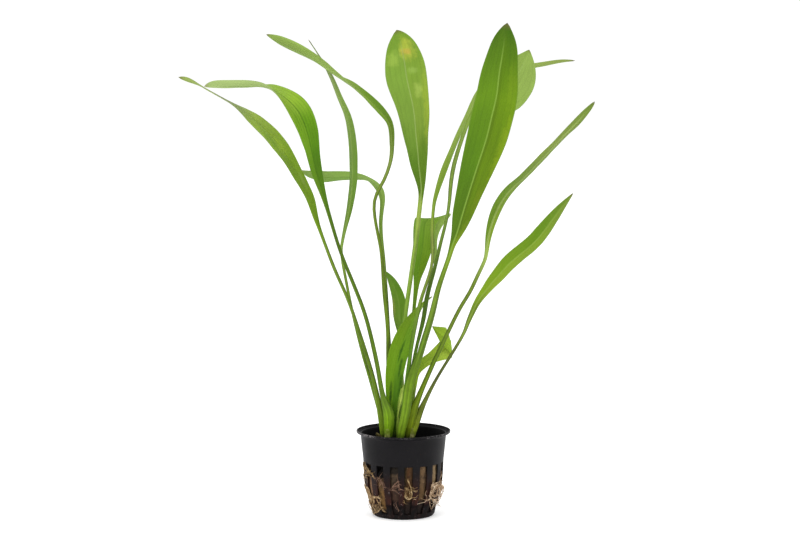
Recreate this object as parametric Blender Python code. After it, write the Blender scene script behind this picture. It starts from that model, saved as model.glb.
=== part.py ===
"""Potted echinodorus: a sword plant that grows in rock wool in a slotted net pot.

The origin is the centre of the pot's underside, +Z is up and the plant's front faces -Y.
Every size below is in millimetres, and MM turns it into metres.
"""
from math import cos, pi, radians, sin

import bmesh
import bpy
from mathutils import Matrix, Vector

MM = 0.001
GAP = 0.4

# The pot's outer side from the foot to the flared lip: radius and height.
POT_OUTSIDE = [
    (16.6, 0.0), (17.9, 0.5), (18.4, 1.8), (19.0, 5.5), (20.3, 8.0), (22.7, 18.5),
    (23.6, 33.0), (25.0, 47.0), (26.0, 48.3), (27.5, 49.1), (27.5, 50.0),
]
POT_WALL = 0.9
POT_FLOOR = 1.0
POT_LIP_INNER_RADIUS = 26.6
POT_SEGMENTS = 48

SLOT_COUNT = 16
SLOT_FIRST_ANGLE = 7.5
SLOT_WIDTH_TOP = 4.8
SLOT_WIDTH_FOOT = 3.9
SLOT_TOP = 32.0
SLOT_FOOT = 3.2
SLOT_INNER_RADIUS = 16.0
SLOT_OUTER_RADIUS = 26.0

DRAIN_COUNT = 8
DRAIN_WIDTH = 2.4
DRAIN_INNER_RADIUS = 6.0
DRAIN_OUTER_RADIUS = 13.0

WOOL_TOP = 40.0
WOOL_CROWN_PIT = 33.0
WOOL_SEGMENTS = 32

CROWN_CENTRE = (-2.3, -2.5)
CROWN_RADIUS = 11.8
CROWN_FOOT = WOOL_CROWN_PIT + GAP
CROWN_TOP = 38.4
CROWN_ROUNDING = 2.5

BLADE_THICKNESS = 0.7
STALK_THICKNESS = 2.3
RING_POINTS = 8

# The leaves are laid out in the front view, as seen from this eye point.
EYE = Vector((-2.0, -1400.0, 292.0))

# Each leaf is a stalk and a blade. A row gives a place on its midline as the front view shows it
# (across, height), how far behind the pot's axis it is (depth, negative in front), the width
# there, and the turn of the leaf about its midline: 0 faces the front, 90 is seen on edge.
# A fold lists the two edges of a folded tip instead, each as across, height and depth.
LEAVES = {
    "leaf_far_left": {
        "trough": 0.20,
        "stalk": [
            (-10.9, 39.6, -2.0, 3.0, 0), (-12.1, 48.7, -2.5, 3.1, 0), (-15.0, 67.5, -3.5, 2.6, 0),
            (-18.5, 84.0, -4.0, 2.3, 0), (-25.5, 107.0, -5.0, 2.1, 0), (-32.5, 127.5, -6.0, 2.0, 0),
            (-40.0, 144.5, -7.0, 2.0, 0), (-48.5, 167.5, -8.0, 2.1, -20),
        ],
        "blade": [
            (-51.0, 175.5, -8.5, 3.8, -32), (-54.5, 186.5, -9.0, 8.0, -45),
            (-58.5, 195.0, -9.5, 11.0, -54), (-65.5, 209.0, -11.0, 15.5, -57),
            (-72.5, 218.0, -12.0, 17.5, -59), (-79.5, 225.5, -13.0, 18.0, -63),
            (-88.5, 233.0, -14.0, 17.0, -74), (-99.5, 241.0, -15.5, 13.5, -87),
            (-109.0, 246.5, -17.0, 9.5, -92), (-118.5, 252.0, -18.0, 6.0, -104),
            (-126.0, 254.5, -19.0, 3.2, -150), (-130.0, 256.0, -20.0, 0.6, -150),
        ],
    },
    "leaf_left_twisted": {
        "trough": 0.22,
        "stalk": [
            (-9.4, 39.6, -5.0, 2.8, 0), (-9.8, 51.5, -6.6, 3.0, 0), (-11.8, 67.5, -7.6, 2.8, 0),
            (-15.6, 90.0, -8.4, 2.5, 0), (-22.0, 117.0, -9.5, 2.3, 0), (-28.5, 134.5, -11.0, 2.2, 0),
            (-36.5, 154.5, -13.0, 2.0, 0), (-43.0, 176.0, -16.0, 2.2, 0),
        ],
        "blade": [
            (-46.2, 187.0, -18.0, 3.4, -15), (-50.2, 200.5, -20.0, 7.5, -30),
            (-53.0, 214.0, -22.0, 11.0, -42), (-54.1, 220.0, -23.0, 13.0, -38),
            (-55.8, 226.5, -24.0, 14.2, -34), (-59.3, 235.0, -26.0, 15.0, -28),
            (-64.4, 241.5, -27.0, 15.0, -40), (-70.2, 246.0, -28.0, 14.6, -61),
            (-76.0, 250.0, -29.0, 14.0, -80), (-79.4, 251.5, -29.5, 13.5, -90),
            (-84.6, 251.5, -30.0, 12.8, -103), (-90.6, 252.0, -31.0, 11.5, -112),
            (-98.0, 252.2, -32.0, 9.5, -112), (-105.3, 252.0, -33.0, 7.5, -118),
            (-112.8, 252.0, -34.0, 3.4, -120), (-115.0, 252.0, -34.5, 0.6, -120),
        ],
    },
    "leaf_top_left": {
        "trough": 0.22,
        "stalk": [
            (-7.9, 39.6, -0.6, 2.6, 0), (-7.4, 50.0, -0.6, 2.6, 0), (-8.3, 64.5, -0.8, 2.5, 0),
            (-9.0, 93.0, -1.0, 2.3, 0), (-9.1, 109.5, -1.0, 2.3, 0), (-11.2, 131.0, -0.5, 2.2, 0),
            (-12.8, 154.5, 0.0, 2.0, 0), (-16.1, 171.5, 0.0, 1.8, 0), (-17.2, 182.0, 0.0, 1.9, 0),
            (-16.0, 187.5, -0.5, 2.0, 0), (-13.1, 193.0, -1.0, 2.0, 0), (-10.2, 198.5, -2.0, 2.0, 0),
            (-7.9, 205.5, -3.0, 2.1, -10),
        ],
        "blade": [
            (-6.8, 212.0, -4.0, 2.8, -30), (-6.8, 218.5, -5.0, 4.4, -50), (-7.1, 225.0, -6.0, 6.4, -60),
            (-8.5, 230.5, -7.0, 8.2, -64), (-12.5, 235.5, -8.0, 9.6, -62), (-18.3, 241.5, -9.5, 10.6, -66),
            (-23.5, 246.5, -11.0, 11.2, -72), (-30.4, 252.0, -12.5, 11.8, -79),
            (-35.6, 255.5, -13.5, 12.0, -88), (-42.0, 260.0, -14.5, 12.0, -100),
            (-46.0, 264.0, -15.5, 12.0, -107), (-50.5, 267.5, -16.5, 11.6, -112),
            (-56.2, 270.0, -17.5, 10.8, -118), (-63.0, 273.0, -19.0, 9.2, -124),
            (-69.4, 276.0, -20.0, 7.0, -132), (-74.6, 278.5, -21.0, 4.0, -134),
            (-79.0, 280.0, -22.0, 0.6, -134),
        ],
    },
    "leaf_needle_tip": {
        "trough": 0.20,
        "stalk": [
            (-11.0, 39.6, 1.8, 2.2, 0), (-11.6, 50.0, 2.2, 2.2, 0), (-18.5, 76.5, 3.5, 1.9, 0),
            (-24.3, 97.0, 4.5, 1.8, 0), (-30.0, 121.0, 6.0, 1.7, 0), (-33.2, 137.0, 7.0, 1.7, 0),
            (-36.1, 154.5, 8.0, 1.7, 0),
        ],
        "blade": [
            (-35.2, 162.0, 9.0, 2.0, -20), (-33.5, 170.5, 10.0, 3.6, -50), (-32.0, 176.5, 11.0, 5.4, -54),
            (-30.8, 184.0, 12.0, 7.4, -57), (-29.6, 192.0, 13.0, 9.0, -61), (-29.3, 200.5, 14.0, 10.4, -63),
            (-29.3, 209.0, 15.0, 11.2, -65), (-29.9, 218.5, 15.5, 11.5, -66), (-30.7, 225.5, 16.0, 11.2, -67),
            (-32.7, 234.5, 16.0, 10.4, -70), (-36.7, 243.0, 16.0, 9.0, -71), (-40.2, 252.5, 15.5, 7.2, -69),
            (-43.8, 260.0, 15.0, 5.4, -66), (-48.2, 267.5, 14.0, 3.0, -76), (-51.0, 272.0, 13.0, 1.6, -80),
            (-54.7, 277.0, 12.0, 0.6, -80),
        ],
    },
    "leaf_left_flat": {
        "trough": 0.20,
        "stalk": [
            (-8.2, 39.6, 3.6, 2.2, 0), (-8.2, 50.0, 4.2, 2.2, 0), (-8.6, 67.5, 6.0, 2.1, 0),
            (-8.6, 101.0, 10.0, 2.0, 0), (-9.7, 126.5, 13.5, 2.0, 0), (-11.4, 150.0, 17.0, 2.0, 0),
            (-12.6, 161.5, 19.0, 2.0, 0),
        ],
        "blade": [
            (-13.2, 171.5, 20.5, 2.4, -15), (-12.7, 178.5, 22.0, 3.0, -35), (-12.3, 185.5, 23.0, 4.6, -45),
            (-13.7, 190.5, 24.5, 6.2, -48), (-16.6, 194.0, 26.0, 7.4, -62), (-19.5, 196.4, 27.5, 8.4, -77),
            (-22.6, 197.3, 28.5, 9.2, -73), (-27.0, 198.0, 29.5, 10.2, -66), (-32.2, 198.4, 30.5, 11.0, -62),
            (-39.0, 198.3, 31.5, 11.0, -58), (-45.0, 198.0, 32.5, 10.2, -49), (-50.5, 199.0, 33.3, 8.0, -46),
            (-55.0, 200.0, 34.0, 5.4, -43), (-59.4, 202.0, 35.0, 0.6, -43),
        ],
    },
    "leaf_centre_broad": {
        "trough": 0.10,
        "stalk": [
            (-1.9, 39.6, -0.9, 2.6, 0), (-2.2, 48.7, -1.0, 2.6, 0), (-1.0, 67.5, -1.0, 2.6, 0),
            (-0.4, 91.0, -0.4, 2.6, 0), (0.8, 115.0, 1.5, 2.6, 0), (3.7, 136.5, 3.0, 2.4, 0),
            (7.1, 161.5, 4.5, 2.3, 0), (9.4, 182.0, 6.0, 2.3, 0),
        ],
        "blade": [
            (10.0, 189.5, 6.5, 3.0, 0), (9.8, 196.0, 7.0, 5.8, 0), (8.8, 205.0, 7.6, 9.8, 3),
            (8.3, 213.0, 8.2, 12.0, 4), (7.1, 222.5, 9.0, 14.6, 5), (6.5, 232.0, 10.0, 17.6, 6),
            (5.1, 241.0, 11.0, 20.0, 6), (3.1, 249.5, 12.0, 22.8, 6), (1.6, 256.0, 13.0, 24.4, 6),
            (0.7, 264.0, 14.0, 23.3, 6), (-0.4, 269.5, 14.8, 20.5, 6), (-1.6, 275.5, 15.6, 15.8, 5),
            (-2.8, 280.0, 16.4, 8.5, 4), (-3.9, 283.0, 17.0, 1.0, 0),
        ],
    },
    "leaf_front_tall": {
        "trough": 0.10,
        "stalk": [
            (0.5, 39.6, -8.6, 3.6, 0), (1.3, 47.5, -9.6, 4.0, 0), (3.7, 60.5, -11.2, 4.2, 0),
            (8.3, 85.5, -14.0, 4.2, 0), (11.8, 101.5, -16.0, 4.0, 0), (15.1, 112.5, -17.0, 3.8, 0),
            (17.6, 122.0, -18.0, 3.5, 0), (19.9, 132.0, -19.5, 3.1, 0), (22.8, 141.0, -21.0, 2.8, 0),
            (26.3, 151.0, -22.5, 2.7, 0),
        ],
        "blade": [
            (28.9, 160.5, -24.0, 3.4, 0), (30.9, 165.5, -25.0, 6.0, -4), (33.2, 174.5, -26.0, 10.6, -8),
            (36.1, 183.5, -27.0, 13.0, -10), (38.7, 192.0, -28.0, 15.4, -11), (43.5, 206.5, -30.0, 20.2, -12),
            (46.4, 215.0, -31.0, 22.3, -12), (49.3, 225.0, -32.0, 23.8, -12), (51.0, 233.5, -33.0, 24.3, -12),
            (53.0, 240.5, -34.0, 24.0, -12), (54.4, 248.5, -35.0, 23.5, -12), (54.9, 256.0, -36.0, 22.0, -12),
            (56.0, 263.0, -36.8, 19.8, -12), (57.2, 269.5, -37.5, 17.4, -12), (57.9, 275.5, -38.0, 15.0, -10),
            (58.5, 281.0, -38.5, 9.6, -8), (59.7, 287.0, -39.0, 1.0, 0),
        ],
    },
    "leaf_back_right": {
        "trough": 0.12,
        "stalk": [
            (-0.3, 39.6, -4.4, 2.5, 0), (-0.3, 48.7, -5.2, 2.6, 0), (2.5, 73.5, -8.2, 2.8, 0),
            (6.0, 97.0, -10.0, 2.8, 0), (9.5, 113.5, -11.0, 2.8, 0), (12.7, 127.0, -11.0, 2.7, 0),
            (15.6, 136.5, -10.0, 2.5, 0), (17.9, 144.0, -9.0, 2.3, 0), (21.6, 160.5, -8.0, 2.0, 0),
            (24.2, 170.5, -7.5, 1.8, 0), (26.2, 182.0, -7.0, 1.7, 0), (26.8, 193.0, -6.5, 1.8, 0),
            (28.8, 204.0, -6.0, 2.2, 0), (32.0, 215.0, -5.0, 2.1, 0), (36.0, 226.5, -3.0, 2.0, 0),
        ],
        "blade": [
            (39.4, 234.0, -1.0, 3.0, 0), (44.6, 237.6, 2.0, 8.0, 0), (51.8, 241.4, 8.0, 18.0, 0),
            (58.0, 245.6, 15.0, 23.6, 0), (62.2, 251.2, 21.0, 25.0, 0), (65.6, 257.0, 27.0, 23.5, 0),
            (68.6, 262.4, 32.0, 17.5, 0), (70.6, 266.8, 35.0, 10.0, 0), (72.4, 271.6, 37.0, 0.6, 0),
        ],
    },
    "leaf_back_sliver": {
        "trough": 0.20,
        "stalk": [
            (-2.9, 39.6, -6.8, 2.2, 0), (-2.5, 48.7, -7.8, 2.2, 0), (0.8, 70.5, -11.0, 2.3, 0),
            (3.7, 92.5, -13.0, 2.3, 0), (6.9, 112.0, -14.0, 2.3, 0), (10.1, 126.5, -14.0, 2.2, 0),
            (13.5, 136.5, -13.4, 2.0, 0), (16.6, 146.5, -12.8, 1.8, 0), (17.0, 155.5, -12.0, 1.8, 0),
            (16.4, 165.5, -11.0, 1.8, 0), (17.0, 182.0, -9.0, 2.0, 10),
        ],
        "blade": [
            (18.7, 190.5, -7.0, 3.4, 40), (22.3, 200.2, -5.0, 5.0, 49), (27.0, 211.1, -1.0, 6.2, 60),
            (33.0, 224.6, 5.0, 8.2, 71), (38.2, 234.8, 11.0, 9.8, 71), (43.0, 244.6, 18.0, 11.2, 71),
            (50.0, 253.0, 28.0, 12.0, 68), (58.4, 257.5, 37.0, 12.0, 66), (67.0, 261.0, 44.0, 11.0, 68),
            (76.0, 262.2, 50.0, 9.4, 73), (83.0, 263.5, 54.0, 7.6, 70), (90.6, 265.0, 57.0, 5.0, 66),
            (95.0, 265.3, 59.0, 3.0, 62), (99.0, 265.3, 60.0, 0.6, 60),
        ],
    },
    "leaf_right_upper": {
        "trough": 0.20,
        "stalk": [
            (3.0, 39.6, -5.4, 2.8, 0), (3.2, 48.7, -6.2, 3.0, 0), (4.7, 56.0, -6.8, 3.1, 0),
            (6.6, 63.5, -7.2, 3.1, 0), (9.5, 71.0, -7.6, 2.9, 0), (17.7, 90.0, -8.5, 2.6, 0),
            (25.2, 106.0, -9.0, 2.3, 0), (33.3, 122.5, -9.0, 2.2, 0), (38.6, 131.0, -8.5, 2.2, 0),
            (43.2, 141.0, -8.0, 2.2, 0), (47.2, 149.5, -7.0, 2.1, 0),
        ],
        "blade": [
            (48.4, 155.5, -6.0, 2.4, 10), (49.0, 161.0, -5.0, 3.8, 35), (50.6, 169.0, -3.5, 6.6, 46),
            (53.5, 177.6, -2.0, 9.0, 50), (57.5, 185.5, 0.0, 10.8, 58), (62.6, 191.9, 2.0, 11.8, 66),
            (69.1, 197.4, 4.0, 12.2, 71), (74.8, 203.4, 5.5, 12.2, 73), (80.6, 209.4, 7.0, 11.6, 73),
            (87.9, 217.1, 9.0, 10.0, 79), (93.4, 223.3, 10.5, 8.6, 87), (99.0, 228.0, 12.0, 7.2, 108),
            (103.5, 233.5, 13.0, 5.6, 128), (108.6, 238.5, 14.0, 2.8, 140), (110.3, 241.5, 14.5, 0.6, 140),
        ],
    },
    "leaf_right_lower": {
        "trough": 0.20,
        "stalk": [
            (6.4, 39.6, -1.6, 2.6, 0), (6.8, 47.0, -2.2, 2.9, 0), (8.4, 54.5, -3.0, 2.9, 0),
            (10.1, 61.0, -3.8, 2.7, 0), (13.0, 68.0, -4.8, 2.4, 0), (17.0, 76.0, -6.0, 2.0, 0),
            (21.2, 83.5, -7.2, 1.8, 0), (31.0, 99.5, -10.5, 1.8, 0), (35.4, 107.5, -12.5, 2.0, 0),
        ],
        "blade": [
            (37.8, 114.0, -14.0, 2.6, 0), (40.9, 121.0, -15.5, 3.4, 15), (43.4, 126.3, -16.5, 4.4, 28),
            (47.0, 130.7, -17.5, 6.2, 36), (51.1, 136.5, -18.5, 8.6, 40), (55.3, 140.9, -19.5, 10.6, 42),
            (60.0, 146.8, -20.5, 11.8, 43), (66.7, 152.7, -22.0, 12.6, 46), (74.7, 159.2, -23.5, 12.6, 47),
            (81.4, 166.8, -25.0, 11.6, 44), (87.0, 174.5, -26.0, 9.0, 43), (92.6, 181.8, -27.0, 5.4, 43),
            (98.4, 189.0, -28.0, 0.6, 50),
        ],
    },
    "leaf_folded_centre": {
        "trough": 0.16,
        "stalk": [
            (-0.8, 39.6, 3.6, 2.2, 0), (-0.8, 48.7, 4.6, 2.2, 0), (1.9, 73.5, 8.0, 2.2, 0),
            (4.3, 97.0, 12.0, 2.1, 0), (6.0, 119.5, 16.0, 2.1, 0),
        ],
        "blade": [
            (7.2, 132.0, 18.0, 2.8, 0), (8.0, 139.0, 19.0, 4.4, -5), (8.9, 144.0, 20.0, 6.8, -8),
            (10.0, 151.0, 21.0, 9.8, -8), (11.2, 157.5, 22.0, 11.6, -8), (11.8, 165.5, 22.6, 12.8, -8),
        ],
        "fold": [
            ((6.0, 171.6, 22.8), (19.0, 171.4, 23.6)), ((7.0, 174.2, 24.6), (23.6, 175.4, 26.0)),
            ((9.4, 172.4, 27.4), (28.2, 176.4, 29.6)), ((12.5, 166.0, 30.0), (22.4, 169.0, 31.6)),
            ((15.5, 159.0, 31.6), (19.8, 162.0, 32.6)), ((17.0, 152.0, 32.6), (19.5, 153.0, 33.2)),
            ((17.6, 146.6, 33.6), (18.2, 146.4, 33.7)),
        ],
    },
    "leaf_small_left": {
        "trough": 0.25,
        "stalk": [
            (-4.9, 39.6, 0.6, 2.1, 0), (-4.6, 50.0, 1.4, 2.1, 0), (-2.4, 66.0, 3.2, 2.2, 0),
            (-0.4, 84.0, 5.2, 2.3, 0),
        ],
        "blade": [
            (0.2, 99.0, 6.2, 3.0, 0), (-0.4, 106.0, 6.8, 5.4, -8), (-1.4, 112.0, 7.2, 7.2, -12),
            (-2.2, 118.0, 7.4, 8.3, -15), (-2.6, 125.0, 7.4, 8.3, -18), (-4.0, 131.0, 7.0, 7.4, -20),
            (-6.8, 137.5, 6.4, 5.2, -22), (-8.6, 140.7, 6.2, 3.0, -22), (-10.1, 143.2, 6.0, 0.6, -22),
        ],
    },
    "leaf_young_centre": {
        "trough": 0.45,
        "stalk": [
            (-5.8, 39.6, -3.4, 3.2, 0), (-6.2, 50.0, -3.8, 3.8, 0),
        ],
        "blade": [
            (-7.1, 67.5, -4.6, 5.4, 0), (-6.0, 76.5, -5.2, 9.3, 0), (-4.5, 85.5, -5.8, 11.7, 0),
            (-2.7, 94.0, -6.2, 12.3, 0), (0.2, 103.0, -6.2, 11.8, 0), (4.3, 113.0, -5.8, 8.4, 0),
            (7.7, 119.5, -5.0, 3.9, 0), (11.8, 124.7, -4.2, 1.9, 0), (17.0, 128.8, -3.5, 0.6, 0),
        ],
    },
    "leaf_folded_right": {
        "trough": 0.12,
        "stalk": [
            (2.8, 39.6, 0.6, 2.2, 0), (4.3, 50.0, 2.2, 2.2, 0), (5.4, 67.5, 5.0, 2.3, 0),
            (6.4, 77.0, 7.4, 3.2, 0),
        ],
        "blade": [],
        "fold": [
            ((7.2, 87.0, 8.8), (9.6, 83.2, 8.8)), ((11.0, 92.6, 9.6), (13.5, 87.0, 9.6)),
            ((14.8, 95.6, 10.4), (17.6, 89.4, 10.4)), ((18.0, 98.9, 11.2), (22.5, 91.0, 11.4)),
            ((21.8, 103.2, 12.8), (26.4, 91.8, 12.8)), ((25.3, 109.8, 12.0), (28.9, 93.6, 12.0)),
            ((24.2, 110.5, 9.6), (26.4, 96.8, 9.6)), ((21.5, 110.8, 8.2), (22.0, 100.9, 8.2)),
            ((19.0, 111.0, 7.4), (19.2, 105.9, 7.4)), ((16.7, 111.3, 7.0), (16.7, 110.7, 7.0)),
        ],
    },
}

# Old leaf remains at the clump's foot, in the same rows as a leaf's.
REMAINS = {
    "old_leaf_stub_left": [
        (-9.0, 39.6, -8.9, 3.8, 0), (-9.3, 43.0, -9.4, 4.4, 0), (-9.4, 47.0, -9.9, 4.4, 0),
        (-9.4, 50.6, -10.3, 3.6, 0),
    ],
    "old_leaf_stub_right": [
        (6.2, 39.6, -5.6, 2.0, 0), (6.5, 44.0, -6.2, 2.4, 0), (6.8, 48.0, -6.8, 2.4, 0),
        (7.0, 51.0, -7.2, 1.8, 0),
    ],
    "withered_leaf_bit": [
        (-12.3, 41.0, -6.4, 2.2, 0), (-13.4, 43.4, -7.2, 3.8, 10), (-14.6, 46.4, -7.8, 3.2, 25),
        (-15.7, 48.4, -8.2, 1.0, 30),
    ],
}
REMAINS_THICKNESS = 1.3

# Roots that grow out of the slots. A row gives the angle round the pot from the front towards
# +X, the height, the distance out from the pot's outer side, the width and the thickness.
ROOT_TUFTS = {
    "root_tuft_left_upper": [
        (-60.0, 28.5, -0.5, 2.6, 2.0), (-60.0, 28.0, 0.6, 2.8, 2.2), (-62.0, 26.0, 1.9, 4.6, 2.2),
        (-64.0, 22.5, 1.7, 5.0, 1.8), (-63.0, 19.4, 1.5, 3.4, 1.4), (-61.0, 17.6, 1.4, 1.2, 0.8),
    ],
    "root_tuft_left_lower": [
        (-60.0, 14.5, -0.5, 2.6, 2.0), (-59.0, 14.2, 0.7, 2.8, 2.4), (-55.0, 12.4, 2.1, 5.0, 2.6),
        (-49.0, 9.2, 2.3, 7.0, 2.6), (-43.0, 6.0, 2.2, 6.4, 2.2), (-38.0, 3.6, 2.0, 4.4, 1.6),
        (-35.0, 2.4, 1.8, 1.6, 0.8),
    ],
    "root_tuft_front": [
        (7.5, 18.6, -0.5, 2.6, 2.0), (7.5, 18.2, 0.7, 2.8, 2.2), (8.5, 16.0, 2.0, 4.4, 2.4),
        (9.5, 12.4, 2.0, 6.4, 2.2), (11.0, 9.4, 1.9, 5.0, 1.8), (13.0, 7.6, 1.7, 1.8, 0.8),
    ],
    "root_tuft_right": [
        (52.5, 19.8, -0.5, 2.6, 2.0), (52.5, 19.4, 0.7, 2.8, 2.4), (57.0, 17.6, 2.4, 6.0, 3.4),
        (60.0, 13.6, 3.0, 9.0, 3.8), (58.0, 9.6, 2.9, 8.0, 3.4), (52.0, 6.6, 2.3, 5.0, 2.2),
        (45.0, 5.0, 1.9, 1.6, 0.9),
    ],
}


def clear_scene():
    for item in list(bpy.data.objects):
        bpy.data.objects.remove(item, do_unlink=True)


def make_material(name, colour, roughness):
    """A Principled material with a plain colour."""
    material = bpy.data.materials.new(name)
    material.use_nodes = True
    shader = material.node_tree.nodes["Principled BSDF"]
    shader.inputs["Base Color"].default_value = (*colour, 1.0)
    shader.inputs["Roughness"].default_value = roughness
    shader.inputs["Metallic"].default_value = 0.0
    return material


def finish_object(name, mesh_data, material, smooth_angle=50.0):
    """Turn a bmesh measured in millimetres into an object measured in metres."""
    bmesh.ops.scale(mesh_data, vec=(MM, MM, MM), verts=mesh_data.verts)
    mesh = bpy.data.meshes.new(name)
    mesh_data.to_mesh(mesh)
    mesh_data.free()
    mesh.shade_smooth()
    mesh.set_sharp_from_angle(angle=radians(smooth_angle))
    mesh.materials.append(material)
    made = bpy.data.objects.new(name, mesh)
    bpy.context.scene.collection.objects.link(made)
    return made


def turned(profile, segments):
    """Spin a profile of (radius, height) points, with both ends on the axis, into a solid."""
    mesh_data = bmesh.new()
    verts = [mesh_data.verts.new((radius, 0.0, height)) for radius, height in profile]
    edges = [mesh_data.edges.new(pair) for pair in zip(verts, verts[1:])]
    bmesh.ops.spin(
        mesh_data, geom=verts + edges, cent=(0, 0, 0), axis=(0, 0, 1), dvec=(0, 0, 0),
        angle=2 * pi, steps=segments, use_merge=True, use_duplicate=False,
    )
    bmesh.ops.remove_doubles(mesh_data, verts=mesh_data.verts, dist=0.01)
    bmesh.ops.recalc_face_normals(mesh_data, faces=mesh_data.faces)
    return mesh_data


def pot_radius(height):
    """The pot's outer radius at a height, read off its outer side."""
    for (low_radius, low), (high_radius, high) in zip(POT_OUTSIDE, POT_OUTSIDE[1:]):
        if low <= height <= high:
            return low_radius + (high_radius - low_radius) * (height - low) / (high - low)
    return POT_OUTSIDE[-1][0]


def around_pot(angle):
    """The outward direction at an angle from the front, and the direction along the wall."""
    turn = radians(angle)
    outward = Vector((sin(turn), -cos(turn), 0.0))
    return outward, Vector((cos(turn), sin(turn), 0.0))


def add_block(mesh_data, corner_low, corner_high, foot_scale=1.0):
    """A box between two corners whose foot is narrowed across by foot_scale."""
    size = corner_high - corner_low
    middle = (corner_high + corner_low) / 2
    place = Matrix.Translation(middle) @ Matrix.Diagonal((*size, 1.0))
    verts = bmesh.ops.create_cube(mesh_data, size=1.0, matrix=place)["verts"]
    for vert in verts:
        if vert.co.z < middle.z:
            vert.co.x *= foot_scale
    return verts


def make_cutter(name, mesh_data, target):
    """A hidden wire object that a Boolean takes out of the target."""
    cutter = finish_object(name, mesh_data, target.data.materials[0])
    cutter.hide_render = True
    cutter.display_type = "WIRE"
    cut = target.modifiers.new(name, "BOOLEAN")
    cut.operation = "DIFFERENCE"
    cut.solver = "EXACT"
    cut.object = cutter


def make_pot():
    """The net pot: a turned cup with upright slots and drain slots in its floor."""
    inside = [(radius - POT_WALL, height) for radius, height in reversed(POT_OUTSIDE[2:-2])]
    inside = [(POT_LIP_INNER_RADIUS, POT_OUTSIDE[-1][1])] + inside
    floor_edge = (inside[-1][0] - POT_WALL, POT_FLOOR)
    profile = [(0.0, 0.0)] + POT_OUTSIDE + inside + [floor_edge, (0.0, POT_FLOOR)]
    plastic = make_material("pot_plastic", (0.018, 0.017, 0.018), 0.45)
    pot = finish_object("net_pot", turned(profile, POT_SEGMENTS), plastic, 35.0)

    slots = bmesh.new()
    for number in range(SLOT_COUNT):
        verts = add_block(
            slots, Vector((-SLOT_WIDTH_TOP / 2, -SLOT_OUTER_RADIUS, SLOT_FOOT)),
            Vector((SLOT_WIDTH_TOP / 2, -SLOT_INNER_RADIUS, SLOT_TOP)), SLOT_WIDTH_FOOT / SLOT_WIDTH_TOP,
        )
        angle = radians(SLOT_FIRST_ANGLE + number * 360.0 / SLOT_COUNT)
        bmesh.ops.rotate(slots, verts=verts, cent=(0, 0, 0), matrix=Matrix.Rotation(angle, 3, "Z"))
    make_cutter("slot_cutter", slots, pot)

    drains = bmesh.new()
    for number in range(DRAIN_COUNT):
        verts = add_block(
            drains, Vector((-DRAIN_WIDTH / 2, -DRAIN_OUTER_RADIUS, -POT_FLOOR)),
            Vector((DRAIN_WIDTH / 2, -DRAIN_INNER_RADIUS, 2 * POT_FLOOR)),
        )
        angle = radians(number * 360.0 / DRAIN_COUNT)
        bmesh.ops.rotate(drains, verts=verts, cent=(0, 0, 0), matrix=Matrix.Rotation(angle, 3, "Z"))
    make_cutter("drain_cutter", drains, pot)


def make_wool():
    """The rock wool: it fills the pot up to WOOL_TOP and has a pit for the crown."""
    heights = [POT_FLOOR + GAP] + [height for _, height in POT_OUTSIDE if 3.0 < height < WOOL_TOP]
    side = [(pot_radius(height) - POT_WALL - GAP, height) for height in heights + [WOOL_TOP]]
    side[0] = (side[0][0] - POT_WALL, side[0][1])
    profile = [(0.0, side[0][1])] + side + [(0.0, WOOL_TOP)]
    brown = make_material("wool_brown", (0.16, 0.10, 0.055), 0.95)
    wool = finish_object("rock_wool", turned(profile, WOOL_SEGMENTS), brown)

    pit = bmesh.new()
    depth = WOOL_TOP - WOOL_CROWN_PIT
    bmesh.ops.create_cone(
        pit, cap_ends=True, segments=WOOL_SEGMENTS, depth=2 * depth,
        radius1=CROWN_RADIUS + GAP, radius2=CROWN_RADIUS + GAP,
        matrix=Matrix.Translation((*CROWN_CENTRE, WOOL_CROWN_PIT + depth)),
    )
    make_cutter("crown_pit_cutter", pit, wool)


def make_crown():
    """The rootstock: a low rounded disc that the leaves stand on."""
    height = CROWN_TOP - CROWN_FOOT
    crown = bmesh.new()
    bmesh.ops.create_cone(
        crown, cap_ends=True, segments=24, radius1=CROWN_RADIUS, radius2=CROWN_RADIUS, depth=height,
        matrix=Matrix.Translation((*CROWN_CENTRE, CROWN_FOOT + height / 2)),
    )
    top_edges = [edge for edge in crown.edges if all(v.co.z > CROWN_TOP - 0.1 for v in edge.verts)]
    bmesh.ops.bevel(
        crown, geom=top_edges, offset=CROWN_ROUNDING, segments=2, profile=0.5, affect="EDGES", material=-1,
    )
    finish_object("crown", crown, make_material("crown_brown", (0.10, 0.085, 0.03), 0.8))


def from_front_view(across, height, depth):
    """The point seen at this place in the front view, moved back by depth along the sight line."""
    sight = Vector((across, 0.0, height)) - EYE
    return EYE + sight * (1.0 + depth / sight.length)


def edges_of_rows(rows, next_centre=None):
    """The left and right edge points of a leaf's rows."""
    centres = [from_front_view(*row[:3]) for row in rows]
    ahead = centres[1:] + [next_centre or centres[-1]]
    behind = centres[:1] + centres[:-1]
    edges = []
    for row, centre, before, after in zip(rows, centres, behind, ahead):
        along = (after - before).normalized()
        level = along.cross(EYE - centre).normalized()
        facing = level.cross(along)
        turn = radians(row[4])
        half = (level * cos(turn) + facing * sin(turn)) * row[3] / 2
        edges.append((centre - half, centre + half))
    return edges


def ring_points(edges, index, thickness, trough):
    """The points round a leaf's section: a lens whose edges stand to the front of its middle."""
    left, right = edges[index]
    before = edges[max(index - 1, 0)]
    after = edges[min(index + 1, len(edges) - 1)]
    along = (after[0] + after[1] - before[0] - before[1]).normalized()
    half = (right - left) / 2
    front = half.cross(along).normalized()
    points = []
    for number in range(RING_POINTS):
        angle = 2 * pi * number / RING_POINTS
        lift = sin(angle) * thickness / 2 + trough * half.length * cos(2 * angle) / 2
        points.append((left + right) / 2 + half * cos(angle) + front * lift)
    return points


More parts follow.
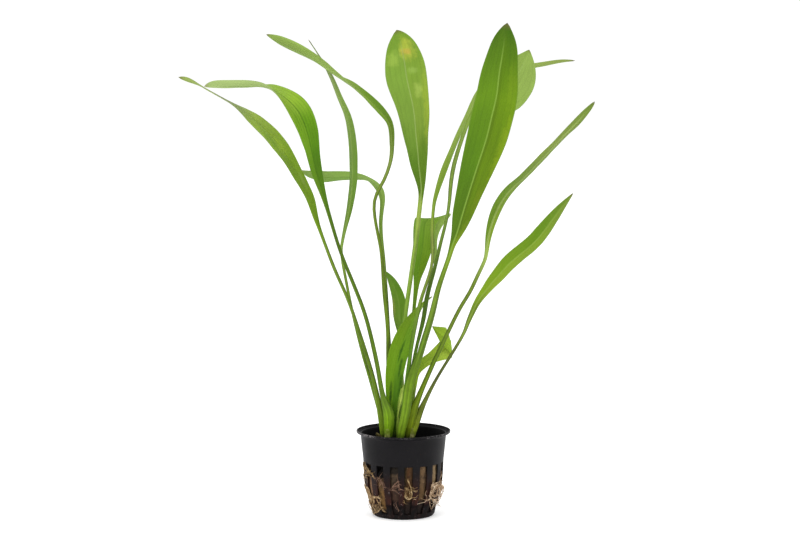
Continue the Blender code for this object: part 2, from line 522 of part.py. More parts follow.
def loft(rings):
    """A closed solid through the rings: a cap that is extruded from one ring to the next."""
    mesh_data = bmesh.new()
    cap = mesh_data.faces.new([mesh_data.verts.new(point) for point in rings[0]])
    for ring in rings[1:]:
        made = bmesh.ops.extrude_face_region(mesh_data, geom=[cap])["geom"]
        if ring is not rings[1]:
            mesh_data.faces.remove(cap)
        cap = next(item for item in made if isinstance(item, bmesh.types.BMFace))
        for vert, point in zip(cap.verts, ring):
            vert.co = point
    bmesh.ops.recalc_face_normals(mesh_data, faces=mesh_data.faces)
    bmesh.ops.triangulate(mesh_data, faces=[face for face in mesh_data.faces if len(face.verts) > 4])
    return mesh_data


def make_leaf(name, leaf, material):
    """One leaf: a rounded stalk that flattens into a thin, slightly trough-shaped blade."""
    rows = leaf["stalk"] + leaf["blade"]
    fold = [tuple(from_front_view(*place) for place in pair) for pair in leaf.get("fold", [])]
    next_centre = (fold[0][0] + fold[0][1]) / 2 if fold else None
    edges = edges_of_rows(rows, next_centre) + fold
    rings = []
    for index, (left, right) in enumerate(edges):
        width = (right - left).length
        if index < len(leaf["stalk"]):
            rings.append(ring_points(edges, index, min(STALK_THICKNESS, 0.85 * width), 0.0))
        else:
            trough = leaf["trough"] if index < len(rows) else 0.0
            rings.append(ring_points(edges, index, min(BLADE_THICKNESS, max(width, 0.5)), trough))
    finish_object(name, loft(rings), material)


def make_remain(name, rows, material):
    """A short blunt stub or scrap of an old leaf."""
    edges = edges_of_rows(rows)
    rings = [ring_points(edges, index, REMAINS_THICKNESS, 0.2) for index in range(len(edges))]
    finish_object(name, loft(rings), material)


def make_root_tuft(name, rows, material):
    """A tuft of roots as one lumpy solid that comes out of a slot and hangs down outside."""
    centres = []
    for angle, height, out, _, _ in rows:
        centres.append(around_pot(angle)[0] * (pot_radius(height) + out) + Vector((0, 0, height)))
    rings = []
    for index, (angle, _, _, width, thickness) in enumerate(rows):
        along = centres[min(index + 1, len(rows) - 1)] - centres[max(index - 1, 0)]
        outward, sideways = around_pot(angle)
        across = (sideways - along * sideways.dot(along) / along.length_squared).normalized()
        through = across.cross(along).normalized()
        ring = []
        for number in range(RING_POINTS):
            turn = 2 * pi * number / RING_POINTS
            ring.append(centres[index] + across * cos(turn) * width / 2 + through * sin(turn) * thickness / 2)
        rings.append(ring)
    finish_object(name, loft(rings), material)


def main():
    clear_scene()
    make_pot()
    make_wool()
    make_crown()
    leaf_green = make_material("leaf_green", (0.13, 0.30, 0.02), 0.4)
    stub_green = make_material("stub_green", (0.40, 0.42, 0.12), 0.6)
    withered = make_material("withered_brown", (0.10, 0.08, 0.02), 0.8)
    root_tan = make_material("root_tan", (0.45, 0.30, 0.17), 0.85)
    for name, leaf in LEAVES.items():
        make_leaf(name, leaf, leaf_green)
    for name, rows in REMAINS.items():
        make_remain(name, rows, withered if name == "withered_leaf_bit" else stub_green)
    for name, rows in ROOT_TUFTS.items():
        make_root_tuft(name, rows, root_tan)


main()
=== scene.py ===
"""Potted echinodorus: leaves, net pot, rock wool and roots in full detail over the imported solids.

The origin is the centre of the pot's underside, +Z is up and the plant's front faces -Y. Lengths and
places are in millimetres, and MM turns them into metres. Inside a finish they are in metres.
"""
import random
from math import atan2, cos, degrees, exp, pi, radians, sin

import bmesh
import bpy
from mathutils import Matrix, Vector, noise


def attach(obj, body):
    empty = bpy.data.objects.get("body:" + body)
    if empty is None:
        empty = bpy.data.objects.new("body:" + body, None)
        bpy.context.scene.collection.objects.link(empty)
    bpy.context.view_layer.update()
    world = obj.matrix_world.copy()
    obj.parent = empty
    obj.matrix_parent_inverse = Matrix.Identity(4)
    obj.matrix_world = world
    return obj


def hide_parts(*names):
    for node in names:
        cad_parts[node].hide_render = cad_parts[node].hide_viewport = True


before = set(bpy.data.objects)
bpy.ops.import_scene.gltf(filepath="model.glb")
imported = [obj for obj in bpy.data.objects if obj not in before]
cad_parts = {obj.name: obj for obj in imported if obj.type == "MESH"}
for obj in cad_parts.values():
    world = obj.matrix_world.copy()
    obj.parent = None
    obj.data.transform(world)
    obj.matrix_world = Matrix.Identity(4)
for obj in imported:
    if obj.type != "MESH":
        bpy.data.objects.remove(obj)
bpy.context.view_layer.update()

MM = 0.001
UP = Vector((0.0, 0.0, 1.0))
# The noise that curls the roots would start from the clock, and differ in each run, without this.
noise.seed_set(1)

# The front view's eye point, which the leaves' rows are laid out from, and how far it looks down.
EYE = Vector((-2.0, -1400.0, 292.0))
EYE_TILT = 5.95
PHOTO_WIDTH = 800.0
FOCAL_PIXELS = 2423.0
SENSOR_WIDTH = 36.0
FLOOR_RADIUS = 4000.0

# The studio, in metres and watts: each light's name, place, size and power.
LIGHTS = [
    ("key", (-0.55, -0.85, 0.75), 0.7, 3.2),
    ("fill", (0.80, -0.55, 0.55), 0.6, 1.6),
    ("top", (0.0, 0.25, 1.1), 0.8, 2.0),
]
LIGHTS_AIM = Vector((0.0, 0.0, 0.15))
SURROUND_STRENGTH = 1.04

# The pot's outer side from the middle of its floor to the top of its lip: radius and height.
POT_OUTSIDE = [
    (0.0, 0.0), (5.0, 0.0), (14.0, 0.0), (16.6, 0.0), (17.4, 0.2), (17.9, 0.6), (18.3, 1.3), (18.5, 2.2),
    (18.7, 3.2), (19.1, 5.5), (20.3, 8.4), (21.1, 11.5), (21.9, 14.6), (22.6, 18.3), (23.0, 22.5),
    (23.3, 27.0), (23.5, 32.0), (23.6, 33.6), (24.2, 39.0), (24.7, 44.0), (25.0, 47.0), (25.3, 47.7),
    (26.0, 48.3), (26.9, 48.6), (27.4, 48.9), (27.5, 49.4), (27.5, 50.0),
]
POT_SIDE = POT_OUTSIDE[3:]
POT_WALL = 0.9
POT_SOFTENING = 0.22
POT_STEPS = 240
# Slots, by their angle from the pot's front. Two stand a little off their even places.
SLOT_PITCH = 22.5
SLOT_FIRST_ANGLE = 7.5
SLOT_HALF_ANGLE = 6.0
SLOT_SHIFTS = {-37.5: 1.5, -15.0: 2.2}
SLOT_FOOT = 3.2
SLOT_TOP = 32.0
DRAIN_COUNT = 8
DRAIN_DISTANCE = 9.5
DRAIN_SIZE = (2.4, 7.0, 6.0)

WOOL_FOOT = 1.5
WOOL_TOP = 40.0
WOOL_GAP = 0.7
WOOL_ROWS = 76
WOOL_STEPS = 192
WOOL_TOP_RADII = (21.5, 20.0, 18.5, 17.0, 15.5, 14.0, 12.5, 11.0, 8.0, 4.0, 0.0)
WOOL_FINENESS = 0.55
WOOL_ROUGHNESS = 0.45
WOOL_MOST_PROUD = 0.3
WOOL_SWELL = 0.55
SWELL_MARGIN = 0.6
# The wool has sunk in behind the left slots' upper part.
HOLLOW_FROM = -72.0
HOLLOW_TO = -27.0
HOLLOW_FOOT = 27.0
HOLLOW_DEPTH = 3.2
HOLLOW_STEEPNESS = 1.4
# Its foot runs up and down by this much, about every 6 degrees round.
HOLLOW_RAGGED = 2.0

CROWN_OUTSIDE = [
    (0.0, 33.4), (8.0, 33.4), (11.0, 33.5), (11.6, 34.5), (11.6, 36.5), (11.2, 37.8), (10.2, 38.7),
    (8.0, 39.5), (5.0, 40.0), (2.5, 40.2), (0.0, 40.2),
]
CROWN_CENTRE = Vector((-2.3, -2.5, 0.0))
CROWN_STEPS = 72
KNOBS_FROM = 37.0
KNOB_FINENESS = 0.5
KNOB_HEIGHT = 0.5

STALK_RINGS = 36
BLADE_RINGS = 84
LEAF_RING_POINTS = 40
BLADE_START = STALK_RINGS / (STALK_RINGS + BLADE_RINGS)
STALK_THICKNESS = 2.3
STALK_FULLNESS = 0.85
BLADE_THICKNESS = 0.55
LEAST_THICKNESS = 0.25
BASE_DROP = 1.3
# Passes that ease a leaf's edges, and how near its tip and its stalk they take hold less.
BLADE_EASING = 14
FOLD_EASING = 3
TIP_HOLD = 14.0
STALK_HOLD = 20.0
STALK_EASE = 0.12
# A blade's trough, waves and midrib grow over its first stretch, and narrow blades have less of them.
BLADE_RISE = 12.0
TIP_FALL = 8.0
TROUGH_FADE = 8.0
LEAST_TROUGH = 0.05
RIB_WIDTH = 0.55
RIB_BELOW = 0.28
RIB_ABOVE = 0.12
RIB_FULL_REACH = 4.0
WAVE_FULL_REACH = 8.0
WAVE_HEIGHT = 0.45
WAVE_FINENESS = 0.07
RIPPLE_HEIGHT = 0.12
RIPPLE_FINENESS = 0.25

# A row is across, height, depth behind the pot's axis, width and, where it isn't 0, turn about the
# leaf's midline. A fold lists both edges of a folded tip, each as across, height and depth.
LEAVES = {
    "leaf_far_left": {
        "trough": 0.09, "flat_from": 0.62,
        "stalk": [
            (-10.6, 39.6, -2, 3.4), (-11.5, 48.7, -2.5, 4.4), (-12.9, 58, -3, 4.3),
            (-14.8, 67.5, -3.5, 3.1), (-18.5, 84, -4, 2.4), (-25.5, 107, -5, 2.1), (-32.5, 127.5, -6, 2),
            (-40, 144.5, -7, 2), (-48.5, 167.5, -8, 2.1, -20),
        ],
        "blade": [
            (-51.1, 175.5, -8.5, 4.2, -38), (-54.1, 186.5, -9, 7.4, -46), (-58.7, 195, -9.5, 10, -54),
            (-66.2, 208.6, -11, 13.6, -57), (-72.2, 217.4, -12, 16.6, -58), (-79, 225, -13, 17.8, -61),
            (-87.6, 232.6, -14, 17, -68), (-93.8, 237.1, -15, 15.4, -77), (-99.4, 241, -16, 13.2, -86),
            (-109, 246.4, -17, 9.5, -90), (-117, 251, -18, 6, -92), (-121.5, 253.2, -18.5, 4.4, -122),
            (-125.6, 254.9, -19, 3, -160), (-129.8, 255.8, -20, 0.6, -160),
        ],
    },
    "leaf_left_twisted": {
        "trough": 0.22,
        "stalk": [
            (-9, 39.6, -5.4, 3.6), (-8.6, 51.5, -7.2, 5.6), (-8.1, 57.5, -7.8, 7.2), (-8.4, 61, -8, 6.8),
            (-10.5, 64.6, -8, 4.4), (-12.1, 69.5, -7.9, 3), (-15.6, 90, -8.4, 2.6), (-22, 117, -9.5, 2.3),
            (-28.5, 134.5, -11, 2.2), (-36.5, 154.5, -13, 2), (-43, 176, -16, 2.2),
        ],
        "blade": [
            (-46.2, 187, -18, 3.4, -15), (-50.2, 200.5, -20, 7.5, -30), (-53, 214, -22, 11, -42),
            (-54.1, 220, -23, 13, -38), (-55.8, 226.5, -24, 14.2, -34), (-59.3, 235, -26, 15, -28),
            (-64.4, 241.5, -27, 15, -40), (-70.2, 246, -28, 14.6, -61), (-76, 250, -29, 14, -80),
            (-79.4, 251.5, -29.5, 13.5, -90), (-84.6, 251.3, -30, 12.8, -103),
            (-90.6, 251.4, -31, 11.5, -113), (-98, 251.4, -32, 9.8, -118),
            (-105.3, 251.3, -33, 8.6, -122), (-110.6, 251.5, -34, 7.6, -124),
            (-113.3, 251, -34.2, 4.2, -124), (-115, 250.4, -34.5, 0.6, -124),
        ],
    },
    "leaf_top_left": {
        "trough": 0.22, "easing": 5,
        "stalk": [
            (-7.9, 39.6, -0.6, 2.6), (-7.4, 50, -0.6, 2.6), (-8.3, 64.5, -0.8, 2.5), (-9, 93, -1, 2.3),
            (-9.1, 109.5, -1, 2.3), (-11.2, 131, -0.5, 2.2), (-12.8, 154.5, 0, 2), (-16.1, 171.5, 0, 1.8),
            (-17.2, 182, 0, 1.9), (-16, 187.5, -0.5, 2), (-13.1, 193, -1, 2), (-10.2, 198.5, -2, 2),
            (-7.9, 205.5, -3, 2.1, -10),
        ],
        "blade": [
            (-6.8, 212, -4, 2.8, -30), (-6.8, 218.5, -5, 4.4, -50), (-7.1, 225, -6, 6.4, -60),
            (-8.5, 230.5, -7, 8.2, -64), (-12.5, 235.5, -8, 9.6, -62), (-18.3, 241.5, -9.5, 10.6, -66),
            (-23.5, 246.5, -11, 11.2, -72), (-30.4, 252, -12.5, 11.8, -79),
            (-35.6, 255.4, -13.5, 12, -92), (-42, 259.8, -14.5, 12, -101), (-46, 262.8, -15.5, 12, -106),
            (-50.3, 265.9, -16.5, 11.6, -109), (-56.2, 269.3, -17.5, 10.8, -117),
            (-63, 273, -19, 9.4, -126), (-69.4, 276, -20, 7.6, -134), (-74.6, 278.6, -21, 4.6, -138),
            (-79, 280.4, -22, 0.6, -138),
        ],
    },
    "leaf_needle_tip": {
        "trough": 0.2,
        "stalk": [
            (-11, 39.6, 1.8, 2.2), (-11.6, 50, 2.2, 2.2), (-18.5, 76.5, 3.5, 1.9), (-24.3, 97, 4.5, 1.8),
            (-30, 121, 6, 1.7), (-33.2, 137, 7, 1.7), (-36.1, 154.5, 8, 1.7),
        ],
        "blade": [
            (-35.2, 162, 9, 2, -20), (-33.5, 170.5, 10, 3.6, -50), (-32, 176.5, 11, 5.4, -54),
            (-30.8, 184, 12, 7.4, -57), (-29.6, 192, 13, 9, -61), (-29.3, 200.5, 14, 10.4, -63),
            (-29.3, 209, 15, 11.2, -65), (-29.9, 218.5, 15.5, 11.5, -66), (-30.7, 225.5, 16, 11.2, -67),
            (-32.7, 234.5, 16, 10.4, -70), (-36.7, 243, 16, 9, -71), (-40.2, 252.5, 15.5, 7.2, -69),
            (-43.8, 260, 15, 5.4, -70), (-48.2, 267.5, 14, 2.4, -80), (-51, 272, 13, 1.2, -80),
            (-54.9, 277.6, 12, 0.6, -80),
        ],
    },
    "leaf_left_flat": {
        "trough": 0.2, "easing": 6,
        "stalk": [
            (-8, 39.6, 3.6, 2.2), (-7.8, 50, 4.2, 2.2), (-7.7, 67.5, 6, 2.1), (-7.8, 92, 9, 2.2),
            (-8.4, 103, 10.3, 2.1), (-9.7, 126.5, 13.5, 2), (-11.4, 150, 17, 2), (-12.6, 161.5, 19, 2),
        ],
        "blade": [
            (-13.2, 171.5, 20.5, 2.4, -15), (-12.7, 178.5, 22, 3, -35), (-12.3, 185.5, 23, 4.6, -45),
            (-13.7, 190.5, 24.5, 6.2, -48), (-16.6, 194, 26, 7.4, -62), (-19.5, 196.4, 27.5, 8.4, -77),
            (-22.6, 197.3, 28.5, 9.2, -73), (-27, 198, 29.5, 10.2, -66), (-32.2, 198.4, 30.5, 11, -62),
            (-39, 198.3, 31.5, 11, -58), (-45, 198, 32.5, 10.2, -49), (-50.5, 199, 33.3, 8, -46),
            (-55, 200, 34, 5.4, -43), (-59.4, 202, 35, 0.6, -43),
        ],
    },
    "leaf_centre_broad": {
        "trough": 0.1,
        "stalk": [
            (-1.9, 39.6, -0.9, 2.6), (-2.2, 48.7, -1, 2.6), (-1.4, 67.5, -1, 2.6), (-1.3, 85, -0.5, 2.5),
            (-0.4, 97, 0.2, 2.6), (0.8, 115, 1.5, 2.6), (3.8, 136.5, 3, 2.6), (7.3, 161.5, 4.5, 2.7),
            (9.6, 182, 6, 2.7),
        ],
        "blade": [
            (10.3, 189.5, 6.5, 3.3), (10, 196, 7, 5.9), (8.8, 205, 7.6, 9.8, 3), (8.3, 213, 8.2, 12, 4),
            (7.1, 222.5, 9, 14.6, 5), (6.5, 232, 10, 17.6, 6), (5.1, 241, 11, 20, 6),
            (3.1, 249.5, 12, 22.8, 6), (1.6, 256, 13, 24.4, 6), (0.7, 264, 14, 23.3, 6),
            (-0.4, 269.5, 14.8, 20.5, 6), (-1.6, 275.5, 15.6, 15.8, 5), (-2.8, 280, 16.4, 8.5, 4),
            (-3.9, 283, 17, 1),
        ],
    },
    "leaf_front_tall": {
        "trough": 0.1,
        "stalk": [
            (-2.4, 39.6, -8.8, 3.8), (-1.5, 48.5, -10, 4.8), (0.5, 56.8, -11.4, 5.4),
            (1.8, 62.7, -12.2, 5.2), (2.5, 69.5, -12.9, 5.1), (3.6, 76.4, -13.6, 5),
            (5.7, 84.1, -14.4, 4.6), (8.8, 91.6, -15.2, 3.9), (12.1, 102.9, -16.2, 3.8),
            (15.1, 112.5, -17, 3.7), (17.6, 122, -18, 3.5), (19.9, 132, -19.5, 3.1),
            (22.8, 141, -21, 2.8), (26.3, 151, -22.5, 2.7),
        ],
        "blade": [
            (29, 160.5, -24, 3.8), (31.2, 165.5, -25, 6.6, -4), (33.6, 174.5, -26, 11.2, -8),
            (36.3, 183.5, -27, 13.6, -10), (38.9, 192, -28, 15.9, -11), (43.5, 206.5, -30, 20.2, -12),
            (46.4, 215, -31, 22.3, -12), (49.3, 225, -32, 23.8, -12), (51, 233.5, -33, 24.3, -12),
            (53, 240.5, -34, 24, -12), (54.4, 248.5, -35, 23.5, -12), (54.9, 256, -36, 22, -12),
            (56, 263, -36.8, 19.8, -12), (57.2, 269.5, -37.5, 17.4, -12), (57.9, 275.5, -38, 15, -10),
            (58.5, 281, -38.5, 9.6, -8), (59.7, 287, -39, 1),
        ],
    },
    "leaf_back_right": {
        "trough": 0.12,
        "stalk": [
            (0.2, 39.6, -4.4, 2.5), (0.3, 48.7, -5.2, 2.6), (2.9, 73.5, -8.2, 2.6), (5.1, 85.5, -9.2, 2),
            (7.1, 97, -10, 1.9), (8.6, 102.9, -10.4, 1.9), (10.2, 108.8, -10.8, 2.3),
            (11.9, 115.5, -11, 2.6), (13.3, 127, -11, 2.7), (15.7, 136.5, -10, 2.4), (18, 144, -9, 2.2),
            (21.7, 160.5, -8, 2), (24.4, 170.5, -7.5, 1.9), (26.6, 182, -7, 1.9), (27.2, 193, -6.5, 2.4),
            (28.8, 204, -6, 2.6), (32, 215, -5, 2.4), (36, 226.5, -3, 2.2),
        ],
        "blade": [
            (39.4, 234, -1, 3), (44.6, 237.6, 2, 8), (51.8, 241.4, 8, 18), (58, 245.6, 15, 23.6),
            (62.2, 251.2, 21, 25), (65.6, 257, 27, 23.5), (68.6, 262.4, 32, 17.5), (70.6, 266.8, 35, 10),
            (72.4, 271.6, 37, 0.6),
        ],
    },
    "leaf_back_sliver": {
        "trough": 0.2,
        "stalk": [
            (-2.9, 39.6, -6.2, 2.2), (-2.3, 48.7, -6.8, 2.2), (0.6, 68.6, -9.4, 2.3),
            (3.1, 88.5, -12.2, 2.2), (5, 101, -13.4, 2.2), (6.9, 112, -14, 2.3), (10.1, 126.5, -14, 2.1),
            (13.5, 136.5, -13.4, 1.9), (16.6, 146.5, -12.8, 1.8), (17, 155.5, -12, 1.8),
            (16.5, 165.5, -11, 1.8), (17.6, 182, -9, 2, 10),
        ],
        "blade": [
            (19.7, 190.5, -7, 3.6, 40), (23, 200.2, -5, 5.8, 49), (27.2, 211.1, -1, 6.4, 60),
            (33, 224.6, 5, 8.2, 71), (38.2, 234.8, 11, 9.8, 71), (43, 244.6, 18, 11.2, 71),
            (50, 253, 28, 12, 68), (58.4, 257.5, 37, 12, 66), (67, 261, 44, 11, 68),
            (76, 262.2, 50, 9.4, 73), (83, 263.5, 54, 7.6, 70), (90.6, 265, 57, 5, 66),
            (95, 265.3, 59, 3, 62), (99, 265.3, 60, 0.6, 60),
        ],
    },
    "leaf_right_upper": {
        "trough": 0.2,
        "stalk": [
            (2.6, 39.6, -5.4, 3.2), (3.1, 48.7, -6.2, 4), (4.6, 56, -6.8, 4.5), (6.4, 63, -7.2, 4.6),
            (9.5, 71, -7.6, 3.2), (17.7, 90, -8.5, 2.6), (25.2, 106, -9, 2.3), (33.3, 122.5, -9, 2.2),
            (38.6, 131, -8.5, 2.2), (43.2, 141, -8, 2.2), (47.2, 149.5, -7, 2.1),
        ],
        "blade": [
            (48.4, 155.5, -6, 2.4, 10), (49, 161, -5, 3.8, 35), (50.6, 169, -3.5, 6.6, 46),
            (53.5, 177.6, -2, 9, 50), (57.5, 185.5, 0, 10.8, 58), (62.6, 191.9, 2, 11.8, 66),
            (69.1, 197.4, 4, 12.2, 71), (74.8, 203.4, 5.5, 12.2, 71), (80.6, 209.4, 7, 11.6, 70),
            (87.9, 217.1, 9, 10, 70), (93.4, 223, 10.5, 8.8, 66), (99, 228.4, 12, 7.8, 56),
            (103.8, 233.8, 13, 6.6, 52), (108.4, 239.2, 14, 3.8, 48), (110.4, 241.9, 14.5, 0.8, 48),
        ],
    },
    "leaf_right_lower": {
        "trough": 0.2,
        "stalk": [
            (4.8, 39.6, -2.2, 2.8), (5.4, 47, -2.6, 3), (7.8, 54.5, -3, 3.8), (9.8, 61, -3.8, 3.7),
            (13, 68, -4.8, 2.6), (17, 76, -6, 2.1), (21.2, 83.5, -7.2, 1.8), (31, 99.5, -10.5, 1.8),
            (35.4, 107.5, -12.5, 2),
        ],
        "blade": [
            (37.8, 114, -14, 2.6), (40.9, 121, -15.5, 3.4, 15), (43.4, 126.3, -16.5, 4.4, 28),
            (47, 130.7, -17.5, 6.2, 36), (51.1, 136.5, -18.5, 8.6, 40), (55.3, 140.9, -19.5, 10.6, 42),
            (60, 146.8, -20.5, 11.8, 43), (66.7, 152.7, -22, 12.6, 46), (74.7, 159.2, -23.5, 12.6, 47),
            (81.4, 166.8, -25, 11.6, 44), (87, 174.5, -26, 9, 43), (92.6, 181.8, -27, 5.4, 43),
            (98.4, 189, -28, 0.6, 50),
        ],
    },
    "leaf_folded_centre": {
        "trough": 0.16,
        "stalk": [
            (-0.8, 39.6, 3.6, 2.2), (-0.8, 48.7, 4.6, 2.2), (1.9, 73.5, 8, 2.2), (4.3, 97, 12, 2.1),
            (6, 119.5, 16, 2.1),
        ],
        "blade": [
            (7.2, 132, 18, 2.8), (8, 139, 19, 4.4, -5), (8.9, 144, 20, 6.8, -8), (10, 151, 21, 9.8, -8),
            (11.2, 157.5, 22, 11.6, -8), (11.8, 165.5, 22.6, 12.8, -8),
        ],
        "fold": [
            ((6, 171.6, 22.8), (19, 171.4, 23.6)), ((7, 174.2, 24.6), (23.6, 175.4, 26)),
            ((9.4, 172.4, 27.4), (28.2, 176.4, 29.6)), ((12.5, 166, 30), (22.4, 169, 31.6)),
            ((15.5, 159, 31.6), (19.8, 162, 32.6)), ((17, 152, 32.6), (19.5, 153, 33.2)),
            ((17.6, 146.6, 33.6), (18.2, 146.4, 33.7)),
        ],
    },
    "leaf_small_left": {
        "trough": 0.25,
        "stalk": [
            (-4.9, 39.6, -0.4, 2.2), (-4, 50, -2, 2.3), (-3.5, 60.8, -3, 2.2), (-1.7, 68.6, -2.6, 3.2),
            (-0.9, 75, -0.6, 2.8), (-0.8, 81, 1, 2), (-0.9, 87, 2.5, 1.8),
        ],
        "blade": [
            (0.2, 99, 6.2, 3), (-0.4, 106, 6.8, 5.4, -8), (-1.4, 112, 7.2, 7.2, -12),
            (-2.2, 118, 7.4, 8.3, -15), (-2.6, 125, 7.4, 8.3, -18), (-4, 131, 7, 7.4, -20),
            (-6.8, 137.5, 6.4, 5.2, -22), (-8.6, 140.7, 6.2, 3, -22), (-10.1, 143.2, 6, 0.6, -22),
        ],
    },
    "leaf_young_centre": {
        "trough": 0.45,
        "stalk": [(-6, 39.6, -3.4, 3.2), (-6.5, 50, -3.8, 4.4)],
        "blade": [
            (-6.6, 58.5, -4.2, 5.6), (-6.6, 67.5, -4.6, 7), (-5.9, 75.5, -5.2, 9.2),
            (-4.9, 85.5, -5.8, 10.9), (-3.2, 94, -6.2, 11.4), (0, 103, -6.2, 11.6), (4.3, 113, -5.8, 8.4),
            (7.7, 119.5, -5, 3.9), (11.8, 124.7, -4.2, 1.9), (17, 128.8, -3.5, 0.6),
        ],
    },
    "leaf_folded_right": {
        "trough": 0.12,
        "stalk": [(2.8, 39.6, 0.6, 2.2), (4.3, 50, 2.2, 2.2), (5.4, 67.5, 5, 2.3), (6.4, 77, 7.4, 3.2)],
        "blade": [],
        "fold": [
            ((7.2, 87, 8.8), (9.6, 83.2, 8.8)), ((11, 92.6, 9.6), (13.5, 87, 9.6)),
            ((14.8, 95.6, 10.4), (17.6, 89.4, 10.4)), ((18, 98.9, 11.2), (22.5, 91, 11.4)),
            ((21.8, 103.2, 12.8), (26.4, 91.8, 12.8)), ((25.3, 109.8, 12), (28.9, 93.6, 12)),
            ((24.2, 110.5, 9.6), (26.4, 96.8, 9.6)), ((21.5, 110.8, 8.2), (22, 100.9, 8.2)),
            ((19, 111, 7.4), (19.2, 105.9, 7.4)), ((16.7, 111.3, 7), (16.7, 110.7, 7)),
        ],
    },
}

